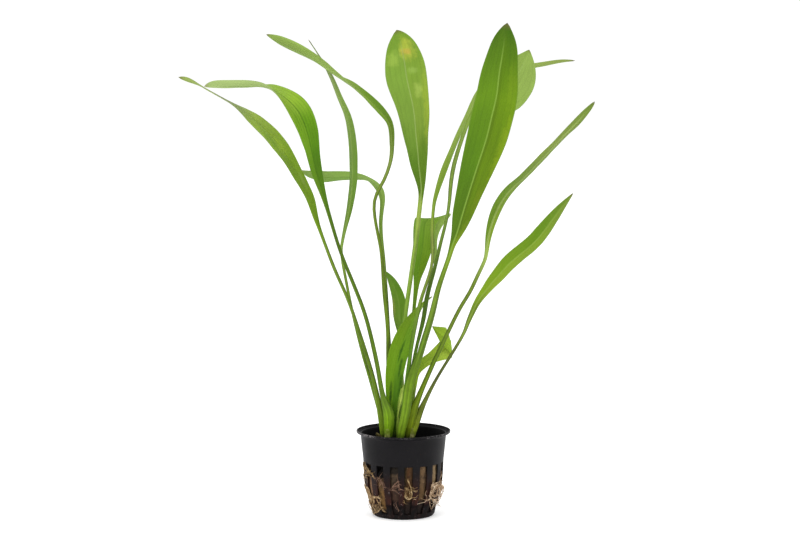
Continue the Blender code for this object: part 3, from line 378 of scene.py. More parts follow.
# Tones are stops of a ramp: its place and a colour as the eye reads it, red, green and blue out of 255.
# "left" and "right" are the upper side's two halves from the blade's base to its tip; where they differ, it
# is partly the leaf's own colour and partly painted light and shade on the two sides of its fold. "under" is
# the lower side, "rib" is the midrib's colour, strength and width, a spot is across, along, its size both
# ways, colour and strength, and "shade" is a band of painted shade: its place across, its width and
# strength.
LOOKS = {
    "leaf_far_left": {
        "left": [
            (0, 104, 136, 22), (0.35, 122, 156, 36), (0.6, 146, 174, 56), (0.71, 130, 150, 70),
            (0.8, 112, 118, 78), (0.92, 114, 120, 78), (1, 134, 150, 80),
        ],
        "right": [
            (0, 90, 122, 14), (0.35, 124, 158, 36), (0.6, 150, 176, 60), (0.71, 132, 152, 74),
            (0.8, 112, 120, 80), (0.92, 114, 120, 80), (1, 132, 148, 80),
        ],
        "stalk": [(0, 112, 138, 26), (0.15, 104, 132, 28), (0.5, 84, 110, 26), (1, 92, 114, 34)],
        "under": (146, 166, 86), "rib": ((104, 138, 36), 0.3, 0.4),
        "spots": [
            (0.1, 0.43, 0.4, 0.05, (156, 184, 54), 0.6), (-0.45, 0.5, 0.35, 0.06, (96, 140, 30), 0.4),
            (0.35, 0.24, 0.3, 0.05, (134, 150, 84), 0.35),
        ],
    },
    "leaf_left_twisted": {
        "left": [
            (0, 84, 114, 20), (0.25, 92, 134, 22), (0.45, 108, 150, 28), (0.6, 138, 170, 56),
            (1, 150, 172, 98),
        ],
        "right": [
            (0, 72, 104, 14), (0.3, 74, 118, 8), (0.45, 94, 140, 14), (0.6, 138, 174, 48),
            (1, 144, 168, 90),
        ],
        "stalk": [
            (0, 96, 124, 26), (0.05, 108, 146, 22), (0.13, 112, 150, 22), (0.19, 92, 122, 30),
            (0.5, 72, 98, 18), (1, 66, 92, 14),
        ],
        "under": (154, 176, 106), "rib": ((62, 102, 12), 0.5, 0.35), "vein": 0.75, "tip": (142, 146, 98),
    },
    "leaf_top_left": {
        "left": [(0, 112, 128, 56), (0.3, 114, 148, 48), (0.55, 136, 164, 66), (1, 138, 162, 84)],
        "right": [(0, 100, 116, 42), (0.3, 96, 132, 34), (0.55, 128, 158, 56), (1, 134, 156, 82)],
        "stalk": [(0, 100, 124, 34), (0.2, 92, 116, 26), (0.6, 84, 106, 24), (1, 90, 108, 34)],
        "under": (136, 162, 78), "rib": ((146, 170, 90), 0.3, 0.5),
    },
    "leaf_needle_tip": {
        "left": [
            (0, 102, 134, 46), (0.4, 104, 142, 42), (0.72, 130, 158, 70), (0.86, 104, 114, 78),
            (1, 82, 86, 70),
        ],
        "right": [
            (0, 96, 128, 40), (0.4, 110, 146, 50), (0.72, 124, 154, 64), (0.86, 98, 108, 74),
            (1, 80, 84, 68),
        ],
        "under": (136, 162, 80), "rib": ((144, 170, 84), 0.5, 0.8),
    },
    "leaf_left_flat": {
        "left": [(0, 98, 126, 44), (0.4, 122, 152, 64), (0.7, 118, 156, 58), (1, 122, 150, 70)],
        "right": [(0, 106, 132, 50), (0.4, 132, 162, 76), (0.7, 130, 164, 68), (1, 124, 150, 76)],
        "under": (140, 168, 86), "rib": ((110, 144, 52), 0.4, 0.4),
    },
    "leaf_centre_broad": {
        "left": [
            (0, 144, 168, 68), (0.06, 80, 110, 24), (0.25, 88, 124, 30), (0.5, 116, 148, 54),
            (0.75, 122, 156, 56), (1, 110, 144, 42),
        ],
        "right": [
            (0, 144, 168, 66), (0.06, 84, 114, 22), (0.25, 94, 128, 30), (0.5, 122, 150, 52),
            (0.75, 122, 154, 50), (1, 114, 146, 40),
        ],
        "stalk": [
            (0, 100, 130, 40), (0.3, 98, 130, 40), (0.6, 110, 140, 48), (0.85, 126, 152, 60),
            (1, 162, 180, 80),
        ],
        "under": (146, 174, 88), "rib": ((156, 180, 100), 0.6, 0.34),
        "spots": [
            (0.28, 0.885, 0.5, 0.07, (182, 190, 68), 0.68),
            (0.18, 0.868, 0.34, 0.018, (206, 166, 76), 0.6),
            (-0.55, 0.84, 0.42, 0.05, (156, 184, 76), 0.55),
            (0.3, 0.76, 0.3, 0.022, (158, 188, 90), 0.45), (0.44, 0.64, 0.26, 0.045, (168, 192, 88), 0.6),
            (0.85, 0.55, 0.24, 0.22, (156, 176, 54), 0.55),
        ],
    },
    "leaf_front_tall": {
        "left": [
            (0, 106, 134, 30), (0.12, 74, 106, 14), (0.4, 78, 116, 14), (0.7, 94, 132, 18),
            (1, 62, 96, 10),
        ],
        "right": [
            (0, 118, 142, 30), (0.12, 82, 110, 10), (0.4, 90, 120, 10), (0.7, 98, 132, 10),
            (1, 60, 96, 8),
        ],
        "stalk": [
            (0, 96, 124, 24), (0.1, 112, 144, 30), (0.3, 96, 126, 22), (0.55, 82, 110, 26),
            (0.75, 92, 116, 34), (1, 100, 128, 26),
        ],
        "under": (130, 158, 70), "rib": ((128, 162, 62), 0.75, 0.4),
        "shade": [(0.1, 0.13, 0.4)],
        "spots": [
            (0.9, 0.5, 0.26, 0.16, (138, 162, 24), 0.38), (0.8, 0.26, 0.28, 0.07, (130, 140, 28), 0.2),
            (0.8, 0.1, 0.5, 0.07, (132, 154, 34), 0.35), (0.72, 0.74, 0.3, 0.1, (122, 150, 26), 0.3),
        ],
    },
    "leaf_back_right": {
        "left": [(0, 124, 150, 56), (0.4, 134, 162, 68), (1, 132, 158, 72)],
        "right": [(0, 130, 156, 62), (0.4, 140, 168, 76), (1, 136, 162, 76)],
        "stalk": [
            (0, 98, 126, 44), (0.2, 84, 118, 30), (0.45, 70, 100, 24), (0.65, 88, 112, 40),
            (1, 112, 132, 60),
        ],
        "under": (146, 172, 90), "rib": ((156, 182, 100), 0.3, 0.5),
    },
    "leaf_back_sliver": {
        "left": [(0, 122, 150, 50), (0.4, 134, 160, 64), (0.8, 138, 162, 62), (1, 126, 144, 62)],
        "right": [(0, 112, 142, 42), (0.4, 124, 152, 56), (0.8, 134, 158, 58), (1, 122, 138, 60)],
        "stalk": [
            (0, 96, 126, 40), (0.2, 88, 126, 30), (0.4, 74, 110, 22), (0.6, 92, 116, 36),
            (0.85, 104, 116, 52), (1, 120, 142, 44),
        ],
        "under": (138, 164, 78), "rib": ((116, 144, 50), 0.4, 0.5),
    },
    "leaf_right_upper": {
        "left": [(0, 112, 144, 40), (0.35, 112, 146, 42), (0.7, 136, 156, 72), (1, 106, 132, 48)],
        "right": [(0, 138, 164, 42), (0.35, 124, 154, 42), (0.7, 132, 152, 66), (1, 112, 136, 50)],
        "stalk": [
            (0, 100, 114, 20), (0.12, 118, 138, 20), (0.25, 98, 120, 12), (0.45, 82, 106, 16),
            (0.7, 86, 104, 30), (1, 100, 122, 38),
        ],
        "under": (120, 146, 60), "rib": ((166, 186, 104), 0.6, 0.8),
    },
    "leaf_right_lower": {
        "left": [
            (0, 84, 102, 28), (0.14, 90, 112, 26), (0.26, 122, 152, 30), (0.7, 98, 136, 22),
            (1, 110, 134, 48),
        ],
        "right": [
            (0, 88, 106, 32), (0.14, 98, 120, 30), (0.28, 136, 162, 44), (0.7, 122, 152, 40),
            (1, 114, 136, 54),
        ],
        "stalk": [
            (0, 110, 126, 30), (0.17, 172, 194, 56), (0.3, 106, 120, 38), (0.6, 74, 82, 38),
            (0.85, 82, 94, 32), (1, 92, 110, 30),
        ],
        "under": (142, 166, 82), "rib": ((144, 172, 72), 0.5, 0.5),
    },
    "leaf_folded_centre": {
        "left": [(0, 108, 138, 38), (0.3, 90, 132, 20), (0.5, 102, 142, 32), (1, 142, 168, 88)],
        "right": [(0, 104, 136, 30), (0.3, 96, 132, 14), (0.5, 112, 148, 40), (1, 132, 160, 74)],
        "under": (130, 158, 70), "rib": ((88, 126, 26), 0.5, 0.4), "vein": 0.5,
    },
    "leaf_small_left": {
        "left": [(0, 96, 130, 36), (0.5, 110, 146, 48), (0.8, 100, 138, 40), (1, 94, 132, 38)],
        "right": [(0, 92, 128, 30), (0.5, 102, 140, 38), (0.8, 92, 132, 32), (1, 92, 130, 36)],
        "stalk": [
            (0, 110, 144, 34), (0.2, 152, 190, 58), (0.38, 196, 228, 92), (0.66, 214, 238, 112),
            (0.85, 164, 196, 80), (1, 110, 142, 42),
        ],
        "under": (128, 156, 70), "rib": ((120, 150, 62), 0.4, 0.4), "tip": (104, 128, 50),
        "spots": [(-0.85, 0.6, 0.34, 0.11, (156, 160, 80), 0.6)],
    },
    # This leaf stands in the others' shade: its dark stalk and the darker foot of its blade are painted
    # shade.
    "leaf_young_centre": {
        "left": [(0, 84, 118, 14), (0.2, 106, 150, 18), (0.6, 112, 152, 26), (1, 120, 150, 44)],
        "right": [
            (0, 62, 98, 10), (0.25, 76, 120, 12), (0.5, 100, 144, 20), (0.7, 104, 146, 26),
            (1, 122, 154, 50),
        ],
        "stalk": [(0, 50, 70, 12), (0.5, 56, 82, 12), (1, 74, 104, 14)],
        "under": (128, 160, 58), "rib": ((96, 140, 16), 0.4, 0.4),
        # Its dark spots are painted shade.
        "spots": [
            (0.16, 0.56, 0.13, 0.09, (48, 90, 6), 0.9), (0.5, 0.43, 0.18, 0.09, (48, 88, 6), 0.9),
            (0.82, 0.32, 0.24, 0.1, (46, 84, 6), 0.9), (-0.3, 0.24, 0.22, 0.1, (30, 64, 6), 0.95),
        ],
    },
    "leaf_folded_right": {
        "left": [
            (0, 124, 156, 34), (0.35, 140, 170, 42), (0.55, 160, 186, 54), (0.72, 150, 176, 40),
            (1, 150, 172, 50),
        ],
        "right": [
            (0, 130, 162, 36), (0.35, 148, 176, 50), (0.55, 164, 190, 62), (0.72, 154, 180, 42),
            (1, 146, 170, 50),
        ],
        "under": (138, 170, 42), "rib": ((124, 156, 34), 0.5, 0.4),
    },
}
STALK_TONES = [(0, 104, 132, 36), (0.12, 100, 130, 32), (0.45, 82, 108, 24), (1, 96, 120, 34)]
TIP_BROWN = (104, 96, 58)
POT_SHADE = (26, 32, 10)
GLOW_GREEN = (138, 172, 30)

# The wool's tones round the pot, from the back by way of the left, the front and the right.
WOOL_UPPER_TONES = [
    (0.0, 80, 60, 40), (0.30, 98, 72, 50), (0.345, 140, 104, 78), (0.38, 88, 66, 42),
    (0.43, 74, 60, 44), (0.475, 66, 53, 39), (0.505, 42, 38, 18), (0.518, 64, 38, 16),
    (0.555, 94, 72, 48), (0.61, 94, 74, 52), (0.66, 130, 110, 80), (0.72, 80, 60, 46),
]
WOOL_LOWER_TONES = [
    (0.0, 74, 54, 36), (0.34, 136, 104, 76), (0.38, 118, 90, 50), (0.415, 98, 70, 38),
    (0.435, 66, 44, 34), (0.475, 58, 40, 30), (0.505, 76, 54, 24), (0.53, 80, 55, 24),
    (0.555, 78, 57, 34), (0.61, 90, 68, 42), (0.66, 98, 76, 53), (0.72, 70, 51, 40),
]
ROOT_TONES = {
    "root_pale": [(0.30, 100, 74, 52), (0.42, 154, 124, 94), (0.54, 196, 168, 136), (0.66, 230, 212, 188)],
    "root_golden": [(0.30, 84, 62, 40), (0.42, 138, 108, 72), (0.54, 178, 148, 106), (0.68, 216, 192, 154)],
    "root_umber": [(0.30, 66, 48, 28), (0.42, 116, 90, 56), (0.54, 156, 128, 86), (0.68, 208, 184, 142)],
    "root_dim": [(0.30, 74, 50, 42), (0.45, 112, 82, 66), (0.60, 142, 110, 90), (0.72, 178, 148, 124)],
}
TUFT_FINISHES = {
    "root_tuft_left_upper": "root_umber", "root_tuft_left_lower": "root_golden",
    "roots_left_slot": "root_dim", "roots_middle_slot": "root_dim",
    "root_tuft_front": "root_umber", "root_tuft_right": "root_pale",
}

# Old leaf remains at the clump's foot, in rows like a leaf's, with their finish, its tones (low, high,
# dark fibres and top) and their material slot.
REMAINS = {
    "old_leaf_stub_left": {
        "slot": "old_leaf", "finish": "stub_pale",
        "tones": ((110, 126, 44), (162, 172, 86), (84, 98, 34), (122, 148, 36)),
        "rows": [
            (-9, 38.4, -8.9, 2.8), (-9.2, 41, -9.2, 3.2), (-9.3, 44, -9.4, 3.2), (-9.4, 47, -9.9, 3),
            (-9.3, 49.4, -10.2, 2.5), (-9.1, 50.8, -10.3, 1.3),
        ],
    },
    "old_leaf_stub_right": {
        "slot": "old_leaf", "finish": "stub_brown",
        "tones": ((104, 108, 40), (168, 168, 104), (92, 92, 40), (118, 130, 40)),
        "rows": [
            (4.6, 38.4, -7.4, 1.8), (4.9, 44, -8.2, 2.3), (5.1, 48, -8.8, 2.1), (5.2, 51.4, -9.2, 0.9),
        ],
    },
    "withered_leaf_bit": {
        "slot": "withered", "finish": "scrap_brown",
        "tones": ((64, 52, 24), (92, 84, 36), (32, 26, 14), (104, 92, 48)),
        "rows": [
            (-12, 39.6, -6, 1.6), (-12.6, 41.8, -6.7, 2.8, 4), (-13.4, 43.4, -7.2, 3.8, 12),
            (-14.6, 46.4, -7.8, 3.2, 30), (-15.7, 48.4, -8.2, 0.8, 40),
        ],
    },
}
REMAINS_STEPS = 24
REMAINS_THICKNESS = 1.2
REMAINS_ROUGHNESS = 0.35
TORN_FROM = 0.7
TORN_HEIGHT = 3.0

# Roots that lie along the pot. Each is its radius, how many looser ones run beside it, how far out
# from the pot's side it lies, and the places that it passes: angle from the front, height and, where it
# differs, its own distance out.
ROOTS = {
    "root_tuft_left_upper": [
        (0.3, 5, 0.5, [(-73, 30.7), (-67, 28.9), (-59, 27.6), (-51, 26.8), (-47, 25.3), (-44, 24.2)]),
        (0.26, 3, 0.4, [(-80, 31.5), (-77, 29.1), (-71, 27), (-65, 26.2), (-55, 26.6)]),
        (0.26, 5, 0.8, [(-57, 27.8), (-63, 26.6), (-71, 25.5), (-73, 23.8), (-64, 23.5), (-61, 23.1)]),
        (0.22, 1, 0.3, [(-77, 30), (-80, 26.3, 0.2), (-81, 23.6, 0.2), (-80, 21.6, 0.2), (-77, 19.4),
                     (-72, 17.6)]),
        (0.22, 2, 0.3, [(-70, 32.5), (-66, 30.4), (-56, 28.1)]),
        (0.2, 1, 0.7, [(-53, 26.8), (-57, 25.4), (-66, 24.6), (-73, 22.4), (-67, 21.6)]),
    ],
    "root_tuft_left_lower": [
        (0.32, 5, 0.5, [(-68, 18.2), (-62, 16.3), (-60, 14.4), (-58, 12.4), (-52, 11.6)]),
        (0.3, 5, 0.5, [(-77, 18), (-70, 15.2), (-68, 13), (-68, 11.2), (-67, 8.9)]),
        (0.32, 5, 1, [(-62, 11), (-56, 12.4), (-48, 13.1), (-40, 13.2), (-37, 12.5), (-39, 11)]),
        (0.3, 5, 0.8, [(-58, 12.5), (-60, 9.9), (-57, 8.4), (-50, 7.9), (-46, 9.2)]),
        (0.3, 4, 0.5, [(-72, 9.2), (-71, 6.3), (-72, 3.8), (-67, 2.6)]),
        (0.34, 2, 0.5, [(-62, 2.7), (-48, 4.7), (-41, 6.4), (-35, 7.7)]),
        (0.28, 2, 0.4, [(-42, 10.3), (-40, 7.3), (-38, 5.5), (-34, 4.5)]),
        (0.28, 5, 0.9, [(-54, 11.8), (-52, 9.8), (-61, 6.8), (-56, 4.9), (-54, 3.2)]),
        (0.26, 2, 0.6, [(-46, 12.6), (-44, 10.6), (-42, 9.1), (-47, 6.7), (-56, 5)]),
        (0.24, 1, 1.2, [(-63, 8.6), (-82, 5.2), (-74, 4.1)]),
    ],
    "roots_left_slot": [
        (0.26, 2, 0.3, [(-39, 24.3), (-37, 22.7), (-36, 20.7), (-39, 19)]),
        (0.26, 2, 0.3, [(-34, 23.9), (-32, 22.6), (-30, 20.1), (-33, 19.1)]),
        (0.24, 1, 0.6, [(-48, 26.2), (-45, 24.6), (-41, 23.7), (-39, 21.8)]),
    ],
    "roots_middle_slot": [
        (0.34, 1, 0.2, [(-8, 23.9), (-12, 22.5), (-15, 21), (-17, 19.9)]),
        (0.24, 2, 0.4, [(-6, 22.9), (-7, 21.4), (-11, 19.8), (-15, 19.4), (-18, 18.3)]),
        (0.26, 1, 0.4, [(-16, 18.5), (-12, 18.2), (-9, 17), (-5, 16.2)]),
        (0.26, 1, 0.4, [(-14, 20.4), (-10, 21), (-7, 21.8), (-6, 20), (-7, 18.5)]),
        (0.24, 1, 0.6, [(-7, 18.9), (-4, 19.3), (-2, 19.1), (1, 18.4), (3, 19.1)]),
        (0.26, 1, 0.3, [(-12, 10.8), (-11, 8.9), (-9, 7.3), (-7, 6.2)]),
    ],
    "root_tuft_front": [
        (0.42, 1, 0.8, [(6, 24.4), (8, 22.5), (10, 20.8), (11, 19.3), (11, 17.3)]),
        (0.34, 2, 1, [(11, 18.5), (12, 15.2), (11, 13.8), (8, 13.1), (5, 13.5), (2, 14.4), (1, 15.3)]),
        (0.32, 2, 0.7, [(3, 19.4), (4, 19.9), (7, 18.9), (8, 17.6), (10, 16.2), (8, 15)]),
        (0.28, 2, 0.7, [(4, 19.6), (3, 17.3), (2, 15.9), (3, 14.2)]),
        (0.24, 0, 0.7, [(11, 20.6), (13, 20.4), (16, 19.5), (19, 20), (21, 20.2)]),
        (0.22, 1, 0.7, [(12, 19.2), (14, 18.4), (17, 17.4), (19, 17.5), (20, 18.4)]),
        (0.22, 0, 0.5, [(12, 14), (17, 14.1), (20, 14.7), (22, 15.5)]),
        (0.2, 0, 0.5, [(15, 12.8), (18, 13), (20, 12.7)]),
        (0.24, 1, 0.3, [(1, 12.4), (2, 11.2), (3, 10.3)]),
    ],
    "root_tuft_right": [
        (0.36, 2, 1, [(44, 20.5), (47, 20.8), (53, 21.3), (60, 21.4), (66, 22.2)]),
        (0.34, 2, 1.4, [(45, 19.5), (47, 19.8), (54, 19.9), (62, 20.1), (66, 20.6)]),
        (0.32, 4, 1.8, [(46, 19), (49, 19.2), (56, 19), (67, 18.7), (75, 17.5)]),
        (0.22, 1, 0.4, [(63, 21.3), (68, 23.4), (70, 25.1), (69, 27)]),
        (0.34, 5, 2.2, [(61, 20.2), (65, 18), (64, 16.3), (61, 14.5), (66, 12.1)]),
        (0.32, 3, 2.8, [(61, 19.9), (68, 17.6), (67, 15.6), (66, 14.2), (62, 12.2), (56, 11.7)]),
        (0.34, 2, 1.4, [(41, 16.9), (43, 15.4), (47, 14), (51, 12.9), (55, 13.3), (54, 14.7)]),
        (0.34, 2, 1.6, [(40, 14.5), (44, 12.7), (49, 11.5), (58, 11.1), (69, 10.5), (81, 10.1)]),
        (0.32, 2, 0.9, [(45, 20.5), (43, 19.8), (43, 18.3), (43, 16.6), (42, 15), (42, 13.8)]),
        (0.3, 3, 1.8, [(50, 19.4), (55, 16.9), (54, 15.2), (61, 13.2), (58, 11.6)]),
        (0.3, 3, 2.2, [(57, 19.7), (57, 17.7), (63, 15.4), (59, 14), (63, 12)]),
        (0.18, 0, 2.6, [(63, 12.1), (71, 12.2), (86, 10.5, 2.9)]),
        (0.18, 0, 3.4, [(60, 14.5), (68, 15.1), (75, 15.7)]),
        (0.18, 0, 3.2, [(60, 17.2), (68, 17.2), (84, 15)]),
        (0.26, 2, 1, [(50, 11.5), (55, 9.4), (56, 7.5), (54, 6)]),
        (0.28, 2, 1.6, [(52, 11.3), (62, 9.3), (66, 10), (70, 9), (65, 7.9), (58, 8.1)]),
        (0.18, 0, 2.2, [(58, 8.9), (68, 7.2), (84, 5.3, 2.3), (84, 4.3, 3.1)]),
        (0.16, 0, 2.2, [(78, 5.9), (84, 5.2, 2.8), (84, 6, 3.2)]),
        (0.22, 0, 0.9, [(46, 12.2), (43, 11.7), (38, 11.6), (35, 10.9), (30, 10.5), (26, 10.3),
                     (22, 9.9)]),
        (0.16, 0, 0.9, [(44, 12.9), (41, 11.9), (37, 11.8), (32, 12.4), (28, 13.2), (24, 13.7)]),
        (0.2, 1, 0.4, [(44, 11.7), (46, 9.8), (50, 7.4), (56, 4.9)]),
        (0.16, 0, 0.4, [(36, 17.6), (34, 15.6), (39, 13.3), (38, 11.8)]),
        (0.3, 3, 1.4, [(66, 18.6), (70, 16.8), (68, 15), (72, 13.4), (76, 12.6)]),
        (0.28, 3, 1.2, [(48, 18.4), (46, 16.2), (49, 14.6), (56, 13.6), (60, 14.8)]),
    ],
}
ROOT_HEIGHTS = (0.4, 36.0)
ROOT_LOWEST = 0.35
ROOT_TAPER = 0.55
ROOT_RINGS = 5
# A root that starts in a slot comes from this far in and above its first place.
SLOT_ROOT_OUT = -1.4
SLOT_ROOT_RISE = 0.6
ROOT_FINENESS = 0.55
# A strand's first root and the looser ones beside it: what share of its radius each has, how far it
# curls, and how far a looser one strays in degrees, height and distance out.
LEADER_SHARE = 0.66
LEADER_CURL = 0.25
LOOSE_SHARES = (0.28, 0.52)
LOOSE_CURL = 0.50
LOOSE_STRAY = (1.5, 0.6, 0.25)
# Short hairs that leave a root: their reach in degrees and height, their reach out, and their radius.
HAIR_REACH = (6.0, 2.0)
HAIR_OUT = (0.2, 1.2)
HAIR_RADII = (0.06, 0.11)
HAIR_LEAST_OUT = 0.2
HAIR_LOWEST = 0.2
HAIR_FINENESS = 0.7
HAIR_CURL = 0.6
HAIR_RINGS = 5


def tint(red, green, blue):
    """A colour as the eye reads it, out of 255, in the linear values that shaders take."""
    return tuple(
        part / 12.92 if part <= 0.04045 else ((part + 0.055) / 1.055) ** 2.4
        for part in (red / 255.0, green / 255.0, blue / 255.0)
    )


def clamp(value, low, high):
    return min(max(value, low), high)


class Value:
    """A number or colour that changes over a surface. Python's operators add the Math nodes."""

    def __init__(self, finish, socket):
        self.finish = finish
        self.socket = socket

    def math(self, operation, *terms):
        return self.finish.add("ShaderNodeMath", {"operation": operation}, terms)[0]

    def __add__(self, other):
        return self.math("ADD", self, other)

    __radd__ = __add__

    def __sub__(self, other):
        return self.math("SUBTRACT", self, other)

    def __rsub__(self, other):
        return self.math("SUBTRACT", other, self)

    def __mul__(self, other):
        return self.math("MULTIPLY", self, other)

    __rmul__ = __mul__

    def __truediv__(self, other):
        return self.math("DIVIDE", self, other)

    def __pow__(self, other):
        return self.math("POWER", self, other)

    def __abs__(self):
        return self.math("ABSOLUTE", self)

    def cosine(self):
        return self.math("COSINE", self)


class Finish:
    """One material and the nodes that give it its colour, gloss and grain."""

    def __init__(self, name):
        self.material = bpy.data.materials.new(name)
        self.material.use_nodes = True
        self.nodes = self.material.node_tree.nodes
        self.links = self.material.node_tree.links
        self.shader = self.nodes["Principled BSDF"]

    def feed(self, socket, value):
        if isinstance(value, Value):
            self.links.new(value.socket, socket)
        elif isinstance(value, tuple) and len(value) == 3 and socket.type == "RGBA":
            socket.default_value = (*value, 1.0)
        else:
            socket.default_value = value

    def add(self, kind, settings, sockets):
        """Adds a node, sets it up, feeds its sockets by number or name and returns its outputs."""
        node = self.nodes.new(kind)
        for key, setting in settings.items():
            if key == "stops":
                self.set_stops(node.color_ramp.elements, setting)
            else:
                setattr(node, key, setting)
        for key, value in sockets.items() if isinstance(sockets, dict) else enumerate(sockets):
            self.feed(node.inputs[key], value)
        return [Value(self, socket) for socket in node.outputs]

    @staticmethod
    def set_stops(elements, stops):
        while len(elements) < len(stops):
            elements.new(0.5)
        for element, (place, *colour) in zip(elements, stops):
            element.position = place
            element.color = (*tint(*colour), 1.0)

    def place(self):
        """The point on the piece: Object coordinates are the node's fourth output."""
        return self.add("ShaderNodeTexCoord", {}, {})[3]

    def laid(self, name):
        """The two numbers of one of the piece's own UV maps."""
        return self.split(self.add("ShaderNodeUVMap", {"uv_map": name}, {})[0])[:2]

    def split(self, vector):
        return self.add("ShaderNodeSeparateXYZ", {}, [vector])[:3]

    def point(self, x, y, z):
        return self.add("ShaderNodeCombineXYZ", {}, [x, y, z])[0]

    def noise(self, vector, scale, detail=3.0, roughness=0.5):
        return self.add("ShaderNodeTexNoise", {}, {
            "Vector": vector, "Scale": scale, "Detail": detail, "Roughness": roughness,
        })[0]

    def fade(self, value, start, end):
        """0 at start and 1 at end, with a soft step between them."""
        return self.add("ShaderNodeMapRange", {"interpolation_type": "SMOOTHSTEP"}, {
            "Value": value, "From Min": start, "From Max": end,
        })[0]

    def ramp(self, value, stops):
        return self.add("ShaderNodeValToRGB", {"stops": stops}, [value])[0]

    def blend(self, low, high, share):
        """Share of the high colour over the low one. A Mix node's colours are its sockets 6 and 7."""
        return self.add("ShaderNodeMix", {"data_type": "RGBA"}, {0: share, 6: low, 7: high})[2]

    def layered(self, tone, *layers):
        """A tone under layers, each a colour out of 255 and the share of it that shows."""
        for colour, share in layers:
            tone = self.blend(tone, tint(*colour), share)
        return tone

    def lighten(self, colour, factor):
        vector_sockets = {"Vector": colour, "Scale": factor}
        return self.add("ShaderNodeVectorMath", {"operation": "SCALE"}, vector_sockets)[0]

    def relief(self, height, depth, strength=1.0):
        """Feeds the shader's normal from a height, whose full range stands depth metres proud."""
        bump = self.add("ShaderNodeBump", {}, {"Height": height, "Distance": depth, "Strength": strength})[0]
        self.feed(self.shader.inputs["Normal"], bump)

    def glow_through(self, colour, share):
        """Lets a share of the light through, tinted by the colour, as a thin leaf does."""
        glow = self.add("ShaderNodeBsdfTranslucent", {}, {"Color": colour})[0]
        surface = Value(self, self.shader.outputs[0])
        mix = self.add("ShaderNodeMixShader", {}, {0: share, 1: surface, 2: glow})[0]
        self.feed(self.nodes["Material Output"].inputs["Surface"], mix)

    def close(self, colour, roughness, **fixed):
        self.feed(self.shader.inputs["Base Color"], colour)
        self.feed(self.shader.inputs["Roughness"], roughness)
        for key, value in fixed.items():
            self.feed(self.shader.inputs[key.replace("_", " ")], value)
        return self.material


